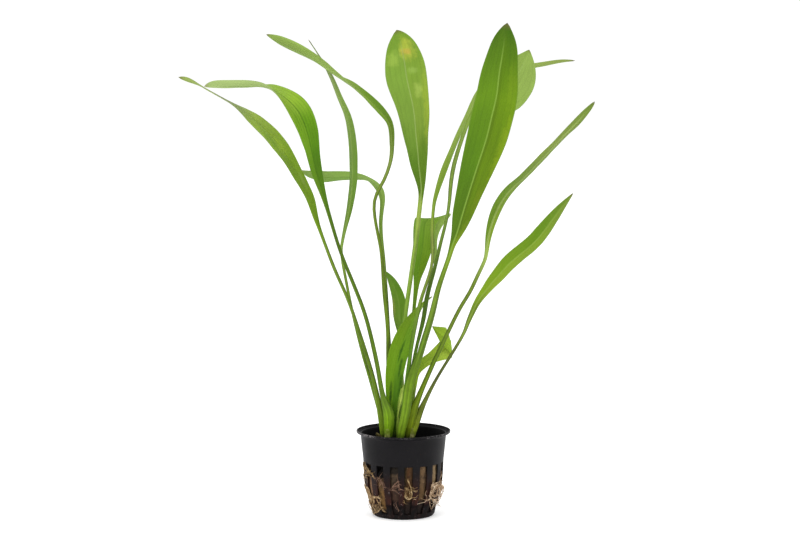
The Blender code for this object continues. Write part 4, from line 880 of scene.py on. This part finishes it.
def leaf_finish(name, look, length, seed):
    """A leaf's skin: halves, veins, midrib, spots, underside, stalk and browned tip."""
    skin = Finish(name.replace("leaf_", "skin_"))
    ring, run = skin.laid("leaf_uv")
    aside, reach = skin.laid("leaf_reach")
    across = (ring * (2 * pi)).cosine()
    below = skin.fade(ring, 0.49, 0.51)
    along = (run - BLADE_START) / (1 - BLADE_START)
    blade = skin.fade(along, -0.06, 0.02)

    def lengthwise(fineness, stretch, shift):
        """Where a pattern is read that is drawn out along the leaf."""
        return skin.point(aside * fineness, run * (length * stretch), seed + shift)

    broad = skin.noise(skin.point(across * 0.9, run * 6.0, seed), 1.0, 2.0)
    streaks = skin.noise(lengthwise(0.55, 0.03, 3.1), 1.0, 3.0)
    fibres = skin.noise(lengthwise(4.5, 0.22, 7.7), 1.0, 2.0)
    mottle = skin.noise(skin.place(), 320.0, 3.0, 0.55)
    strands = skin.noise(lengthwise(1.1, 0.045, 5.3), 1.0, 2.0)
    cells = skin.add("ShaderNodeTexVoronoi", {"feature": "DISTANCE_TO_EDGE"}, {
        "Vector": lengthwise(1.1, 0.42, 0.0), "Scale": 1.0,
    })[0]
    net = skin.fade(cells, 0.10, 0.0) * blade

    # The upper side: its two halves, whose tones carry some painted light and shade, and its spots, some of
    # them painted shade.
    drift = along + (broad - 0.5) * 0.25
    right_half = skin.fade(across + (streaks - 0.5) * 0.15, -0.12, 0.12)
    tone = skin.blend(skin.ramp(drift, look["left"]), skin.ramp(drift, look["right"]), right_half)
    for spot_across, spot_along, wide, long, colour, strength in look.get("spots", []):
        offset_across = (across - spot_across) / wide
        offset_along = (along - spot_along) / long
        spread = offset_across * offset_across + offset_along * offset_along
        spread = spread + (mottle - 0.5) * 2.4 + (streaks - 0.5) * 0.5
        tone = skin.blend(tone, tint(*colour), skin.fade(spread, 1.5, -0.2) * strength)

    # Veins, dark bands of painted shade, midrib and edges.
    veins = ((across * (8 * pi)).cosine() * 0.5 + 0.5) ** 8.0 * blade
    rib_colour, rib_strength, rib_width = look["rib"]
    rib = skin.fade(abs(aside), rib_width * 1.5, rib_width * 0.6) * skin.fade(along, 0.98, 0.80)
    tone = skin.blend(tone, skin.lighten(tone, 0.72), veins * look.get("vein", 0.25))
    for place, width, strength in look.get("shade", []):
        band = skin.fade(abs(across - place), width, width * 0.2) * strength
        tone = skin.blend(tone, skin.lighten(tone, 0.45), band * skin.fade(along, 0.95, 0.70))
    edge = skin.fade(abs(across), 0.94, 0.99)
    tone = skin.layered(tone, (rib_colour, rib * rib_strength), (look["under"], edge * 0.35))

    under = skin.blend(tint(*look["under"]), tint(*rib_colour), rib * 0.4)
    under = skin.lighten(under, 0.85 + 0.3 * broad - 0.10 * veins)
    tone = skin.blend(tone, under, below)

    # The stalk: a painted highlight along its ridge, painted shade down its sides, and fibres.
    stalk = skin.ramp(run / BLADE_START + (broad - 0.5) * 0.12, look.get("stalk", STALK_TONES))
    sheen_ridge = skin.fade(abs(across + 0.15), 0.40, 0.10) * skin.fade(streaks, 0.40, 0.60)
    # Painted highlight on the ridge, then painted shade on the right side and the left edge.
    for lightness, share in (
        (1.3, sheen_ridge * 0.6),
        (0.55, skin.fade(across, 0.35, 0.85) * 0.65),
        (0.65, skin.fade(across, -0.70, -0.98) * 0.6),
    ):
        stalk = skin.blend(stalk, skin.lighten(stalk, lightness), share)
    stalk = skin.lighten(stalk, 0.52 + 0.55 * mottle + 0.42 * skin.fade(strands, 0.36, 0.62))
    tone = skin.blend(stalk, tone, blade)

    # The shade inside the pot, the browned tip and the grain over everything.
    height = skin.split(skin.place())[2] + (mottle - 0.5) * 0.005
    low = skin.fade(height, 0.0508, 0.0452)
    tip = skin.fade(along + (mottle - 0.5) * 0.03, 0.965, 1.0)
    tone = skin.layered(tone, (POT_SHADE, low * 0.92), (look.get("tip", TIP_BROWN), tip * 0.85))
    tone = skin.lighten(tone, 0.75 + 0.22 * streaks + 0.06 * fibres + 0.22 * broad - 0.05 * net)

    relief = mottle * 0.10 + fibres * 0.03 - net * 0.05 - veins * (reach * 0.04) - rib * (1 - below) * 0.6
    skin.relief(relief, 0.00022, 0.8)
    skin.close(tone, 0.40 + 0.16 * broad + 0.10 * below, Specular_IOR_Level=0.12)
    skin.glow_through(tint(*GLOW_GREEN), blade * 0.12)
    return skin.material


def pot_finish():
    """Charcoal moulded plastic: a scuffed lip whose pale line is partly a painted highlight, painted sheen
    at the far left and right of the upper wall, painted shade inside, a wet brownish foot and a few mineral
    flecks, which on the foot also stand for painted glints.
    """
    plastic = Finish("pot_charcoal")
    place = plastic.place()
    x, y, height = plastic.split(place)
    radius = (x * x + y * y) ** 0.5
    cloud = plastic.noise(place, 70.0, 3.0)
    grain = plastic.noise(place, 2400.0, 2.0)
    smears = plastic.noise(plastic.point(x * 520.0, y * 520.0, height * 130.0), 1.0, 3.0, 0.6)
    specks_and_glints = plastic.fade(plastic.noise(place, 700.0, 3.0, 0.7), 0.635, 0.69)
    scuffs_and_sheen = plastic.fade(plastic.noise(place, 900.0, 4.0, 0.7) + (cloud - 0.5) * 0.8, 0.48, 0.62)

    low = plastic.fade(height, 0.031, 0.012)
    foot = plastic.fade(height, 0.0085, 0.0060)
    # Masks for the lip, for the painted sheen at the wall's far left and right and for the painted shade
    # inside.
    rim = plastic.fade(radius, 0.0264, 0.0272)
    sides = plastic.fade(abs(x), 0.0085, 0.0120)
    sheen_ends = plastic.fade(abs(x), 0.0205, 0.0252) * plastic.fade(height, 0.030, 0.036)
    inside = plastic.fade(radius - height * 0.105, 0.0197, 0.0194)
    top = plastic.fade(height, 0.0485, 0.0490) * plastic.fade(radius, 0.0271, 0.0267)

    tone = plastic.blend(tint(13, 11, 14), tint(7, 6, 8), plastic.fade(cloud, 0.35, 0.65))
    tone = plastic.layered(
        tone,
        ((50, 20, 9), low * (0.35 + 0.55 * plastic.fade(smears, 0.36, 0.60))),
        ((20, 7, 4), foot * plastic.fade(smears, 0.56, 0.44) * 0.8),
        ((92, 60, 54), foot * plastic.fade(smears, 0.50, 0.62) * 0.6),
        # Mineral flecks, most on the lower part and the foot; on the foot they also stand for painted
        # glints.
        ((168, 150, 148), specks_and_glints * (0.02 + 0.35 * low + 0.5 * foot)),
        # The lip's pale line: a little wear, and a painted highlight that grows away from its middle towards
        # its left and right.
        ((118, 113, 114), rim * scuffs_and_sheen * (0.16 + 0.60 * sides)),
        # Painted sheen at the upper wall's far left and right, broken up like wear.
        ((84, 84, 88), sheen_ends * plastic.fade(scuffs_and_sheen + cloud, 0.3, 1.1) * 0.30),
        # Painted shade inside the pot.
        ((5, 5, 6), inside * 0.85),
    )
    plastic.relief(grain * 0.25 + cloud * 0.4 + smears * 0.5 * low, 0.00014, 0.6)
    rough = 0.46 - 0.20 * foot + 0.12 * cloud + 0.4 * (inside + top * (1 - inside))
    return plastic.close(tone, rough, Specular_IOR_Level=0.12)


def wool_finish():
    """Damp rock wool: fibres, painted shade in its tangle's hollows, where it has sunk behind the left slots
    and inside the pot above the slots, a tone that changes from slot to slot, and darker towards the bottom.
    """
    wool = Finish("wool_damp")
    place = wool.place()
    x, y, z = wool.split(place)
    angle = wool.add("ShaderNodeMath", {"operation": "ARCTAN2"}, [x, -1.0 * y])[0] / (2 * pi) + 0.5
    fibres = wool.noise(wool.point(x * 1500.0, y * 1500.0, z * 260.0), 1.0, 4.0, 0.6)
    tangle = wool.noise(place, 420.0, 5.0, 0.65)
    patches = wool.noise(place, 130.0, 3.0)

    def ragged(depth, start, end):
        """A soft step over height, whose line wanders by depth metres with the tangle."""
        return wool.fade(z + (tangle - 0.5) * depth, start, end)

    # Darker towards the bottom, over the front, the right and the back.
    damp = ragged(0.005, 0.0138, 0.0098) * wool.fade(angle, 0.40, 0.43)
    left_slots = wool.fade(angle, 0.425, 0.41)
    third_slot = wool.fade(angle, 0.43, 0.445) * wool.fade(angle, 0.495, 0.48)
    upper = wool.ramp(angle, WOOL_UPPER_TONES)
    tone = wool.blend(wool.ramp(angle, WOOL_LOWER_TONES), upper, wool.fade(z, 0.016, 0.024))
    tone = wool.layered(
        tone,
        # Painted shade in the tangle's hollows.
        ((34, 24, 18), wool.fade(tangle, 0.52, 0.34) * 0.7),
        ((176, 146, 108), wool.fade(fibres, 0.58, 0.75) * 0.35),
        ((40, 30, 24), wool.fade(patches, 0.46, 0.28) * 0.5),
        # Darker towards the bottom.
        ((24, 15, 13), damp * 0.94),
        ((22, 15, 13), wool.fade(z, 0.0075, 0.0045) * 0.9),
        # Painted shade where the wool has sunk behind the left slots' upper part.
        ((14, 11, 10), left_slots * ragged(0.006, 0.0235, 0.0255) * wool.fade(angle, 0.29, 0.31)),
        # Painted shade inside the pot, above the slots.
        ((20, 18, 14), wool.fade(z, 0.031, 0.034) * 0.92),
        ((16, 13, 9), third_slot * ragged(0.004, 0.0265, 0.0285) * 0.9),
    )
    wool.relief(fibres * 0.5 + tangle * 0.8, 0.0006)
    return wool.close(tone, 0.85, Specular_IOR_Level=0.2)


def crown_finish():
    """The rootstock's skin: brown and fibrous, with green where leaves start."""
    crown = Finish("crown_flesh")
    lumps = crown.noise(crown.place(), 300.0, 4.0, 0.6)
    tone = crown.blend(tint(46, 38, 20), tint(70, 84, 30), crown.fade(lumps, 0.45, 0.7))
    crown.relief(lumps, 0.0006)
    return crown.close(tone, 0.7, Specular_IOR_Level=0.2)


def remain_finish(name, low, high, dark, top):
    """Old leaf tissue: one tone towards its foot, one higher up and one at its top, with dark fibres and
    painted shade towards its foot, down in the pot.
    """
    flesh = Finish(name)
    place = flesh.place()
    x, y, z = flesh.split(place)
    fibres = flesh.noise(flesh.point(x * 1400.0, y * 1400.0, z * 200.0), 1.0, 3.0)
    patches = flesh.noise(place, 380.0, 3.0)
    tone = flesh.layered(
        tint(*low),
        (high, flesh.fade(z + patches * 0.004, 0.045, 0.050)),
        (dark, flesh.fade(fibres, 0.54, 0.38) * 0.55),
        (top, flesh.fade(z + (fibres - 0.5) * 0.004, 0.0480, 0.0500)),
    )
    # Painted shade, much darker towards the foot down in the pot, varied in patches.
    tone = flesh.lighten(tone, flesh.fade(z, 0.0440, 0.0490) * 0.5 + 0.08 + 0.34 * patches)
    flesh.relief(fibres, 0.0002)
    return flesh.close(tone, 0.55, Specular_IOR_Level=0.25)


def root_finish(name, tones):
    """Pale dried and damp roots, browner where they are older."""
    root = Finish(name)
    place = root.place()
    broad = root.noise(place, 420.0, 3.0, 0.6)
    fine = root.noise(place, 2200.0, 3.0)
    tone = root.lighten(root.ramp(broad, tones), 0.74 + 0.4 * fine)
    root.relief(fine, 0.0001)
    return root.close(tone, 0.60, Specular_IOR_Level=0.25)


def seen_from_front(across, height, depth):
    """The point seen at this place in the front view, moved back by depth along the sight line."""
    sight = Vector((across, 0.0, height)) - EYE
    return EYE + sight * (1.0 + depth / sight.length)


def edges_of_rows(rows, next_centre=None):
    """The left and right edge points of a leaf's rows."""
    centres = [seen_from_front(*row[:3]) for row in rows]
    ahead = centres[1:] + [next_centre or centres[-1]]
    behind = centres[:1] + centres[:-1]
    edges = []
    for row, centre, before, after in zip(rows, centres, behind, ahead):
        forward = (after - before).normalized()
        level = forward.cross(EYE - centre).normalized()
        facing = level.cross(forward)
        turn = radians(row[4]) if len(row) > 4 else 0.0
        half = (level * cos(turn) + facing * sin(turn)) * row[3] / 2
        edges.append((centre - half, centre + half))
    return edges


def flowing(knots, values, place):
    """The value at a place on a smooth curve through values that belong to rising knots."""
    last = len(knots) - 1
    index = max(i for i in range(last) if i == 0 or knots[i] <= place)
    span = knots[index + 1] - knots[index]
    share = (place - knots[index]) / span

    def slope(i):
        low, high = max(i - 1, 0), min(i + 1, last)
        return (values[high] - values[low]) * (span / (knots[high] - knots[low]))

    square, cube = share ** 2, share ** 3
    return (
        values[index] * (2 * cube - 3 * square + 1) + slope(index) * (cube - 2 * square + share)
        + values[index + 1] * (3 * square - 2 * cube) + slope(index + 1) * (cube - square)
    )


def make_piece(name, mesh_data, material):
    """Turn a bmesh measured in millimetres into an object."""
    bmesh.ops.scale(mesh_data, vec=(MM, MM, MM), verts=mesh_data.verts)
    mesh = bpy.data.meshes.new(name)
    mesh_data.to_mesh(mesh)
    mesh_data.free()
    mesh.shade_smooth()
    mesh.materials.append(material)
    piece = bpy.data.objects.new(name, mesh)
    bpy.context.scene.collection.objects.link(piece)
    return piece


def declare(piece, slot, replaced):
    """Attach a piece to the root body and hide the node that it stands for, if there is one. The slot is not
    used.
    """
    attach(piece, "root")
    if replaced:
        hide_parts(replaced)


def wrapped_grid(ring_points, rings, place_of):
    """A closed skin from a grid whose width goes round a form and whose length runs along it."""
    skin = bmesh.new()
    skin.loops.layers.uv.new("leaf_uv")
    bmesh.ops.create_grid(skin, x_segments=ring_points, y_segments=rings, size=0.5, calc_uvs=True)
    for vert in skin.verts:
        vert.co = place_of(vert.co.x + 0.5, vert.co.y + 0.5)
    bmesh.ops.remove_doubles(skin, verts=skin.verts, dist=0.0005)
    bmesh.ops.recalc_face_normals(skin, faces=skin.faces)
    return skin


def eased(points, passes, free):
    """Points with small kinks taken out; free says how far each one may settle."""
    for _ in range(passes):
        moved = [
            here.lerp((before + after) / 2, 0.5 * share)
            for before, here, after, share in zip(points, points[1:], points[2:], free[1:])
        ]
        points = [points[0], *moved, points[-1]]
    return points


def leaf_sections(leaf):
    """A leaf's rings from foot to tip: edge points, thickness, place along it, blade's start and length."""
    rows = leaf["stalk"] + leaf["blade"]
    fold = [tuple(seen_from_front(*place) for place in pair) for pair in leaf.get("fold", [])]
    next_centre = (fold[0][0] + fold[0][1]) / 2 if fold else None
    edges = edges_of_rows(rows, next_centre) + fold
    foot = tuple(point - UP * BASE_DROP for point in edges[0])
    edges = [foot] + edges
    knots = [0.0]
    for (left, right), (next_left, next_right) in zip(edges, edges[1:]):
        knots.append(knots[-1] + ((next_left + next_right) / 2 - (left + right) / 2).length)

    stalk_end = len(leaf["stalk"])
    thick = []
    for index, (left, right) in enumerate(edges):
        width = (right - left).length
        if index <= stalk_end:
            thick.append(min(STALK_THICKNESS, STALK_FULLNESS * width))
        else:
            thick.append(min(BLADE_THICKNESS, width))

    start, total = knots[stalk_end], knots[-1]
    places = [start * step / STALK_RINGS for step in range(STALK_RINGS)]
    places += [start + (total - start) * step / BLADE_RINGS for step in range(BLADE_RINGS)]
    places.append(total - 1e-6)
    free = [
        min((total - place) / TIP_HOLD, 1.0, max((place - start) / STALK_HOLD, STALK_EASE))
        for place in places
    ]
    passes = FOLD_EASING if fold else leaf.get("easing", BLADE_EASING)
    lefts, rights = (
        eased([flowing(knots, side, place) for place in places], passes, free)
        for side in zip(*edges)
    )
    thicknesses = [max(flowing(knots, thick, place), LEAST_THICKNESS) for place in places]
    return lefts, rights, thicknesses, places, start, total


def make_leaf(name, leaf, look, seed):
    """One leaf: a stalk that flattens into a thin blade with a midrib and softly waved edges."""
    lefts, rights, thicknesses, places, start, total = leaf_sections(leaf)
    centres = [(left + right) / 2 for left, right in zip(lefts, rights)]
    last = len(places) - 1
    fronts = []
    for step in range(last + 1):
        forward = centres[min(step + 1, last)] - centres[max(step - 1, 0)]
        fronts.append((rights[step] - lefts[step]).cross(forward).normalized())
    # A leaf that names no such place keeps its trough to the tip.
    flat_from = leaf.get("flat_from", 2.0)

    def place_of(ring, run):
        step = round(run * last)
        if step in (0, last):
            return centres[step]
        half = (rights[step] - lefts[step]) / 2
        reach = half.length
        where = places[step]
        along = (where - start) / (total - start)
        blade = clamp((where - start) / BLADE_RISE, 0.0, 1.0)
        across, upward = cos(2 * pi * ring), sin(2 * pi * ring)
        side = 1.0 if across > 0 else -1.0

        trough = leaf["trough"] * blade * min((total - where) / TIP_FALL, 1.0)
        trough *= clamp((flat_from - along) * TROUGH_FADE, LEAST_TROUGH, 1.0)
        lift = upward * thicknesses[step] / 2 + trough * reach * (across ** 2 - 0.5)
        rib = exp(-(across * reach / RIB_WIDTH) ** 2) * blade * min(reach / RIB_FULL_REACH, 1.0)
        lift -= rib * (RIB_BELOW if upward < 0 else RIB_ABOVE)
        wave = noise.noise(Vector((where * WAVE_FINENESS, side * 4.0, seed * 3.7))) * abs(across) ** 3
        ripple = noise.noise(Vector((where * RIPPLE_FINENESS, across * 1.5, seed * 5.1)))
        lift += blade * min(reach / WAVE_FULL_REACH, 1.0) * (wave * WAVE_HEIGHT + ripple * RIPPLE_HEIGHT)
        return centres[step] + half * across + fronts[step] * lift

    skin = wrapped_grid(LEAF_RING_POINTS, last, place_of)
    round_leaf = skin.loops.layers.uv["leaf_uv"]
    beside = skin.loops.layers.uv.new("leaf_reach")
    for face in skin.faces:
        for loop in face.loops:
            ring, run = loop[round_leaf].uv
            step = round(run * last)
            reach = (rights[step] - lefts[step]).length / 2
            loop[beside].uv = (cos(2 * pi * ring) * reach, reach)
    piece = make_piece(name.replace("leaf_", "fine_leaf_"), skin, leaf_finish(name, look, total, seed))
    declare(piece, "leaf", name)


def make_remain(name, remain, seed):
    """A short stub or scrap of an old leaf with a torn, uneven top."""
    knots = [row[1] for row in remain["rows"]]
    lefts, rights = zip(*edges_of_rows(remain["rows"]))

    def place_of(ring, run):
        where = knots[0] + (knots[-1] - knots[0]) * clamp(run, 0.0, 0.9999)
        left, right = (flowing(knots, side, where) for side in (lefts, rights))
        half = (right - left) / 2
        front = half.cross(UP).normalized()
        across, upward = cos(2 * pi * ring), sin(2 * pi * ring)
        spread = half * across + front * (upward * REMAINS_THICKNESS / 2)
        knobs = noise.noise(Vector((across * 1.3, upward * 1.3, where * 0.8 + seed)))
        rough = 1.0 + REMAINS_ROUGHNESS * knobs
        torn = max(run - TORN_FROM, 0.0) * TORN_HEIGHT * noise.noise(Vector((across * 2.0, seed, 1.0)))
        if run in (0.0, 1.0):
            return (left + right) / 2
        return (left + right) / 2 + spread * rough + UP * torn

    finish = remain_finish(remain["finish"], *remain["tones"])
    scrap = wrapped_grid(REMAINS_STEPS, REMAINS_STEPS, place_of)
    piece = make_piece("fine_" + name, scrap, finish)
    declare(piece, remain["slot"], name)


def turned(profile, steps):
    """Spin a profile of (radius, height) points into a round sheet or solid."""
    form = bmesh.new()
    verts = [form.verts.new((radius, 0.0, height)) for radius, height in profile]
    edges = [form.edges.new(pair) for pair in zip(verts, verts[1:])]
    bmesh.ops.spin(
        form, geom=verts + edges, cent=(0, 0, 0), axis=(0, 0, 1), dvec=(0, 0, 0),
        angle=2 * pi, steps=steps, use_merge=True, use_duplicate=False,
    )
    bmesh.ops.remove_doubles(form, verts=form.verts, dist=0.005)
    bmesh.ops.recalc_face_normals(form, faces=form.faces)
    return form


def angle_from_front(place):
    """The angle round the pot from its front towards +X, in degrees."""
    return degrees(atan2(place.x, -place.y))


def in_slot(angle, height, margin=0.0):
    """Whether a place on the pot's side is in a slot, at least margin degrees from its sides."""
    middle = SLOT_FIRST_ANGLE + SLOT_PITCH * round((angle - SLOT_FIRST_ANGLE) / SLOT_PITCH)
    off_middle = abs(angle - middle - SLOT_SHIFTS.get(middle, 0.0))
    return SLOT_FOOT < height < SLOT_TOP and off_middle < SLOT_HALF_ANGLE - margin


def pot_radius(height):
    """The pot's outer radius at a height."""
    for (low_radius, low), (high_radius, high) in zip(POT_SIDE, POT_SIDE[1:]):
        if low <= height <= high:
            return low_radius + (high_radius - low_radius) * (height - low) / max(high - low, 1e-6)
    return POT_SIDE[-1][0]


def settle(piece):
    """Make a piece's modifiers part of its mesh."""
    shape = bpy.data.meshes.new_from_object(piece.evaluated_get(bpy.context.evaluated_depsgraph_get()))
    piece.modifiers.clear()
    piece.data = shape


def make_pot():
    """The net pot: a turned sheet with its slots taken out, given its wall, then softly rounded."""
    sheet = turned(POT_OUTSIDE, POT_STEPS)
    slot_faces = []
    for face in sheet.faces:
        middle = face.calc_center_median()
        if in_slot(angle_from_front(middle), middle.z):
            slot_faces.append(face)
    bmesh.ops.delete(sheet, geom=slot_faces, context="FACES")
    finish = pot_finish()
    pot = make_piece("fine_net_pot", sheet, finish)

    wall = pot.modifiers.new("wall", "SOLIDIFY")
    wall.thickness = POT_WALL * MM
    wall.offset = -1.0
    wall.use_even_offset = True

    drains = bmesh.new()
    for number in range(DRAIN_COUNT):
        turn = Matrix.Rotation(2 * pi * number / DRAIN_COUNT, 4, "Z")
        shape = turn @ Matrix.Translation((0.0, -DRAIN_DISTANCE, 0.0)) @ Matrix.Diagonal((*DRAIN_SIZE, 1.0))
        bmesh.ops.create_cube(drains, size=1.0, matrix=shape)
    cutter = make_piece("drain_cutter", drains, finish)
    cut = pot.modifiers.new("drains", "BOOLEAN")
    cut.operation = "DIFFERENCE"
    cut.solver = "EXACT"
    cut.object = cutter
    settle(pot)
    bpy.data.objects.remove(cutter, do_unlink=True)

    soft = pot.modifiers.new("soft_edges", "BEVEL")
    soft.width = POT_SOFTENING * MM
    soft.segments = 2
    soft.limit_method = "ANGLE"
    soft.angle_limit = radians(50.0)
    soft.harden_normals = False
    settle(pot)
    pot.data.shade_smooth()
    pot.data.set_sharp_from_angle(angle=radians(40.0))
    declare(pot, "pot", "net_pot")


def make_wool():
    """The rock wool plug: rough and fibrous, swelling a little into the slots."""
    profile = [(radius, WOOL_FOOT) for radius in (0.0, 6.0, 12.0)]
    for row in range(WOOL_ROWS + 1):
        height = WOOL_FOOT + (WOOL_TOP - WOOL_FOOT) * row / WOOL_ROWS
        profile.append((pot_radius(height) - POT_WALL - WOOL_GAP, height))
    profile += [(radius, WOOL_TOP) for radius in WOOL_TOP_RADII]
    plug = turned(profile, WOOL_STEPS)
    for vert in plug.verts:
        place = vert.co.copy()
        rough = noise.fractal(place * WOOL_FINENESS, 0.8, 2.1, 4) * WOOL_ROUGHNESS
        if place.z > WOOL_TOP - 0.01:
            vert.co.z += rough * 1.6 - 0.4
        elif place.z > WOOL_FOOT + 0.1:
            angle = angle_from_front(place)
            swell = WOOL_SWELL if in_slot(angle, place.z, SWELL_MARGIN) else 0.0
            hollow = 0.0
            if HOLLOW_FROM < angle < HOLLOW_TO:
                hollow_foot = HOLLOW_FOOT + HOLLOW_RAGGED * sin(angle)
                hollow = HOLLOW_DEPTH / (1.0 + exp((hollow_foot - place.z) * HOLLOW_STEEPNESS))
            outward = Vector((place.x, place.y, 0.0)).normalized()
            vert.co = place + outward * (swell + min(rough, WOOL_MOST_PROUD) - hollow)
    declare(make_piece("fine_rock_wool", plug, wool_finish()), "wool", "rock_wool")


def make_crown():
    """The rootstock: a knobbly mound under the stalks."""
    mound = turned(CROWN_OUTSIDE, CROWN_STEPS)
    bmesh.ops.subdivide_edges(mound, edges=mound.edges, cuts=1, use_grid_fill=True)
    for vert in mound.verts:
        knobs = noise.fractal(vert.co * KNOB_FINENESS, 0.9, 2.0, 3)
        if vert.co.z > KNOBS_FROM:
            vert.co += UP * (knobs * KNOB_HEIGHT - 0.2)
        vert.co += CROWN_CENTRE
    declare(make_piece("fine_crown", mound, crown_finish()), "crown", "crown")


def on_pot(angle, height, out):
    """The point at an angle from the pot's front, a height and a distance out from its side."""
    radius = pot_radius(height) + out
    return Vector((radius * sin(radians(angle)), -radius * cos(radians(angle)), height))


def curled(row, fineness, offset, curl, lowest):
    """A root's point on the pot, pushed about by up to curl and kept off the ground."""
    place = on_pot(row.x, clamp(row.y, *ROOT_HEIGHTS), row.z)
    place = place + noise.noise_vector(place * fineness + offset) * curl
    place.z = max(place.z, lowest)
    return place


def make_roots(name, strands, material, replaced, seed):
    """A tuft of single roots: tapering tubes, most with looser ones and short hairs beside them."""
    draw = random.Random(seed)
    tubes = bpy.data.curves.new(name, "CURVE")
    tubes.dimensions = "3D"
    tubes.bevel_depth = MM
    tubes.bevel_resolution = 1
    tubes.resolution_u = 2
    tubes.use_fill_caps = True

    def add_tube(points, radius):
        spline = tubes.splines.new("NURBS")
        spline.points.add(len(points) - 1)
        spline.order_u = 4
        spline.use_endpoint_u = True
        for number, (control, point) in enumerate(zip(spline.points, points)):
            share = number / (len(points) - 1)
            control.co = (*(point * MM), 1.0)
            control.radius = radius * (1.0 - ROOT_TAPER * share ** 2)

    for radius, companions, out, stops in strands:
        rows = [(*stop, out)[:3] for stop in stops]
        angle, height = stops[0][:2]
        if in_slot(angle, height):
            rows.insert(0, (angle, height + SLOT_ROOT_RISE, SLOT_ROOT_OUT))
        rows = [Vector(row) for row in rows]
        spans = len(rows) - 1
        steps = ROOT_RINGS * spans
        for number in range(companions + 1):
            stray = [[draw.gauss(0, spread) for spread in LOOSE_STRAY] for _ in range(2)]
            # The first root follows its places. What was drawn for it is left unused.
            if number == 0:
                stray = [[0.0, 0.0, 0.0], [0.0, 0.0, 0.0]]
            drift = [Vector((aside, rise, abs(outward))) for aside, rise, outward in stray]
            curl = LOOSE_CURL if number else LEADER_CURL
            offset = Vector((seed * 9.0, number * 5.0, 0.0))
            points = []
            for step in range(steps + 1):
                row = flowing(range(len(rows)), rows, step / steps * spans * 0.9999)
                row = row + drift[0].lerp(drift[1], step / steps)
                points.append(curled(row, ROOT_FINENESS, offset, curl, ROOT_LOWEST))
            add_tube(points, radius * (draw.uniform(*LOOSE_SHARES) if number else LEADER_SHARE))
        for _ in range(companions):
            start = rows[draw.randrange(1, len(rows))]
            reach = [draw.gauss(0, spread) for spread in HAIR_REACH]
            end = start + Vector((*reach, draw.uniform(*HAIR_OUT)))
            hair = []
            for step in range(HAIR_RINGS + 1):
                row = start.lerp(end, step / HAIR_RINGS)
                row.z = max(row.z, HAIR_LEAST_OUT)
                hair.append(curled(row, HAIR_FINENESS, Vector(), HAIR_CURL, HAIR_LOWEST))
            add_tube(hair, draw.uniform(*HAIR_RADII))

    rig = bpy.data.objects.new(name + "_tubes", tubes)
    bpy.context.scene.collection.objects.link(rig)
    shape = bpy.data.meshes.new_from_object(rig.evaluated_get(bpy.context.evaluated_depsgraph_get()))
    bpy.data.objects.remove(rig, do_unlink=True)
    tuft = bmesh.new()
    tuft.from_mesh(shape)
    bmesh.ops.remove_doubles(tuft, verts=tuft.verts, dist=1e-7)
    bmesh.ops.recalc_face_normals(tuft, faces=tuft.faces)
    bmesh.ops.scale(tuft, vec=(1 / MM, 1 / MM, 1 / MM), verts=tuft.verts)
    declare(make_piece("fine_" + name, tuft, material), "root", replaced)


def make_studio():
    """A pale floor, a bright even surround and soft lights from both sides."""
    floor_data = bmesh.new()
    bmesh.ops.create_circle(floor_data, cap_ends=True, segments=96, radius=FLOOR_RADIUS)
    white = Finish("floor_white")
    grain = white.noise(white.place(), 40.0)
    tone = white.blend(tint(254, 254, 254), tint(251, 251, 251), grain)
    # The floor glows faintly though it is no lamp, which evens it to white and fades the pot's shadow on it.
    white.feed(white.shader.inputs["Emission Color"], tone)
    finish = white.close(tone, 0.9, Specular_IOR_Level=0.1, Emission_Strength=0.22)
    floor = make_piece("floor", floor_data, finish)

    world = bpy.data.worlds.new("surround")
    bpy.context.scene.world = world
    world.use_nodes = True
    surround = world.node_tree.nodes["Background"].inputs
    surround["Color"].default_value = (1.0, 1.0, 1.0, 1.0)
    surround["Strength"].default_value = SURROUND_STRENGTH
    for name, place, size, power in LIGHTS:
        light = bpy.data.lights.new(name, "AREA")
        light.size = size
        light.energy = power
        lamp = bpy.data.objects.new(name, light)
        bpy.context.scene.collection.objects.link(lamp)
        lamp.location = place
        lamp.rotation_euler = (LIGHTS_AIM - Vector(place)).to_track_quat("-Z", "Y").to_euler()
    bpy.context.scene.view_settings.view_transform = "Standard"


def make_camera():
    """The camera at the photograph's viewing angle."""
    lens = bpy.data.cameras.new("photo_view")
    lens.sensor_width = SENSOR_WIDTH
    lens.lens = SENSOR_WIDTH * FOCAL_PIXELS / PHOTO_WIDTH
    lens.clip_end = 20.0
    camera = bpy.data.objects.new("photo_view", lens)
    bpy.context.scene.collection.objects.link(camera)
    camera.location = EYE * MM
    camera.rotation_euler = (radians(90.0 - EYE_TILT), 0.0, 0.0)
    bpy.context.scene.camera = camera


make_camera()
make_studio()
make_pot()
make_wool()
make_crown()
for seed, (leaf_name, leaf) in enumerate(LEAVES.items()):
    make_leaf(leaf_name, leaf, LOOKS[leaf_name], seed + 1.0)
for seed, (remain_name, remain) in enumerate(REMAINS.items()):
    make_remain(remain_name, remain, seed + 1.0)
root_finishes = {name: root_finish(name, tones) for name, tones in ROOT_TONES.items()}
for seed, (tuft_name, tuft_strands) in enumerate(ROOTS.items()):
    replaced = tuft_name if tuft_name.startswith("root_tuft") else None
    make_roots(tuft_name, tuft_strands, root_finishes[TUFT_FINISHES[tuft_name]], replaced, seed + 1)
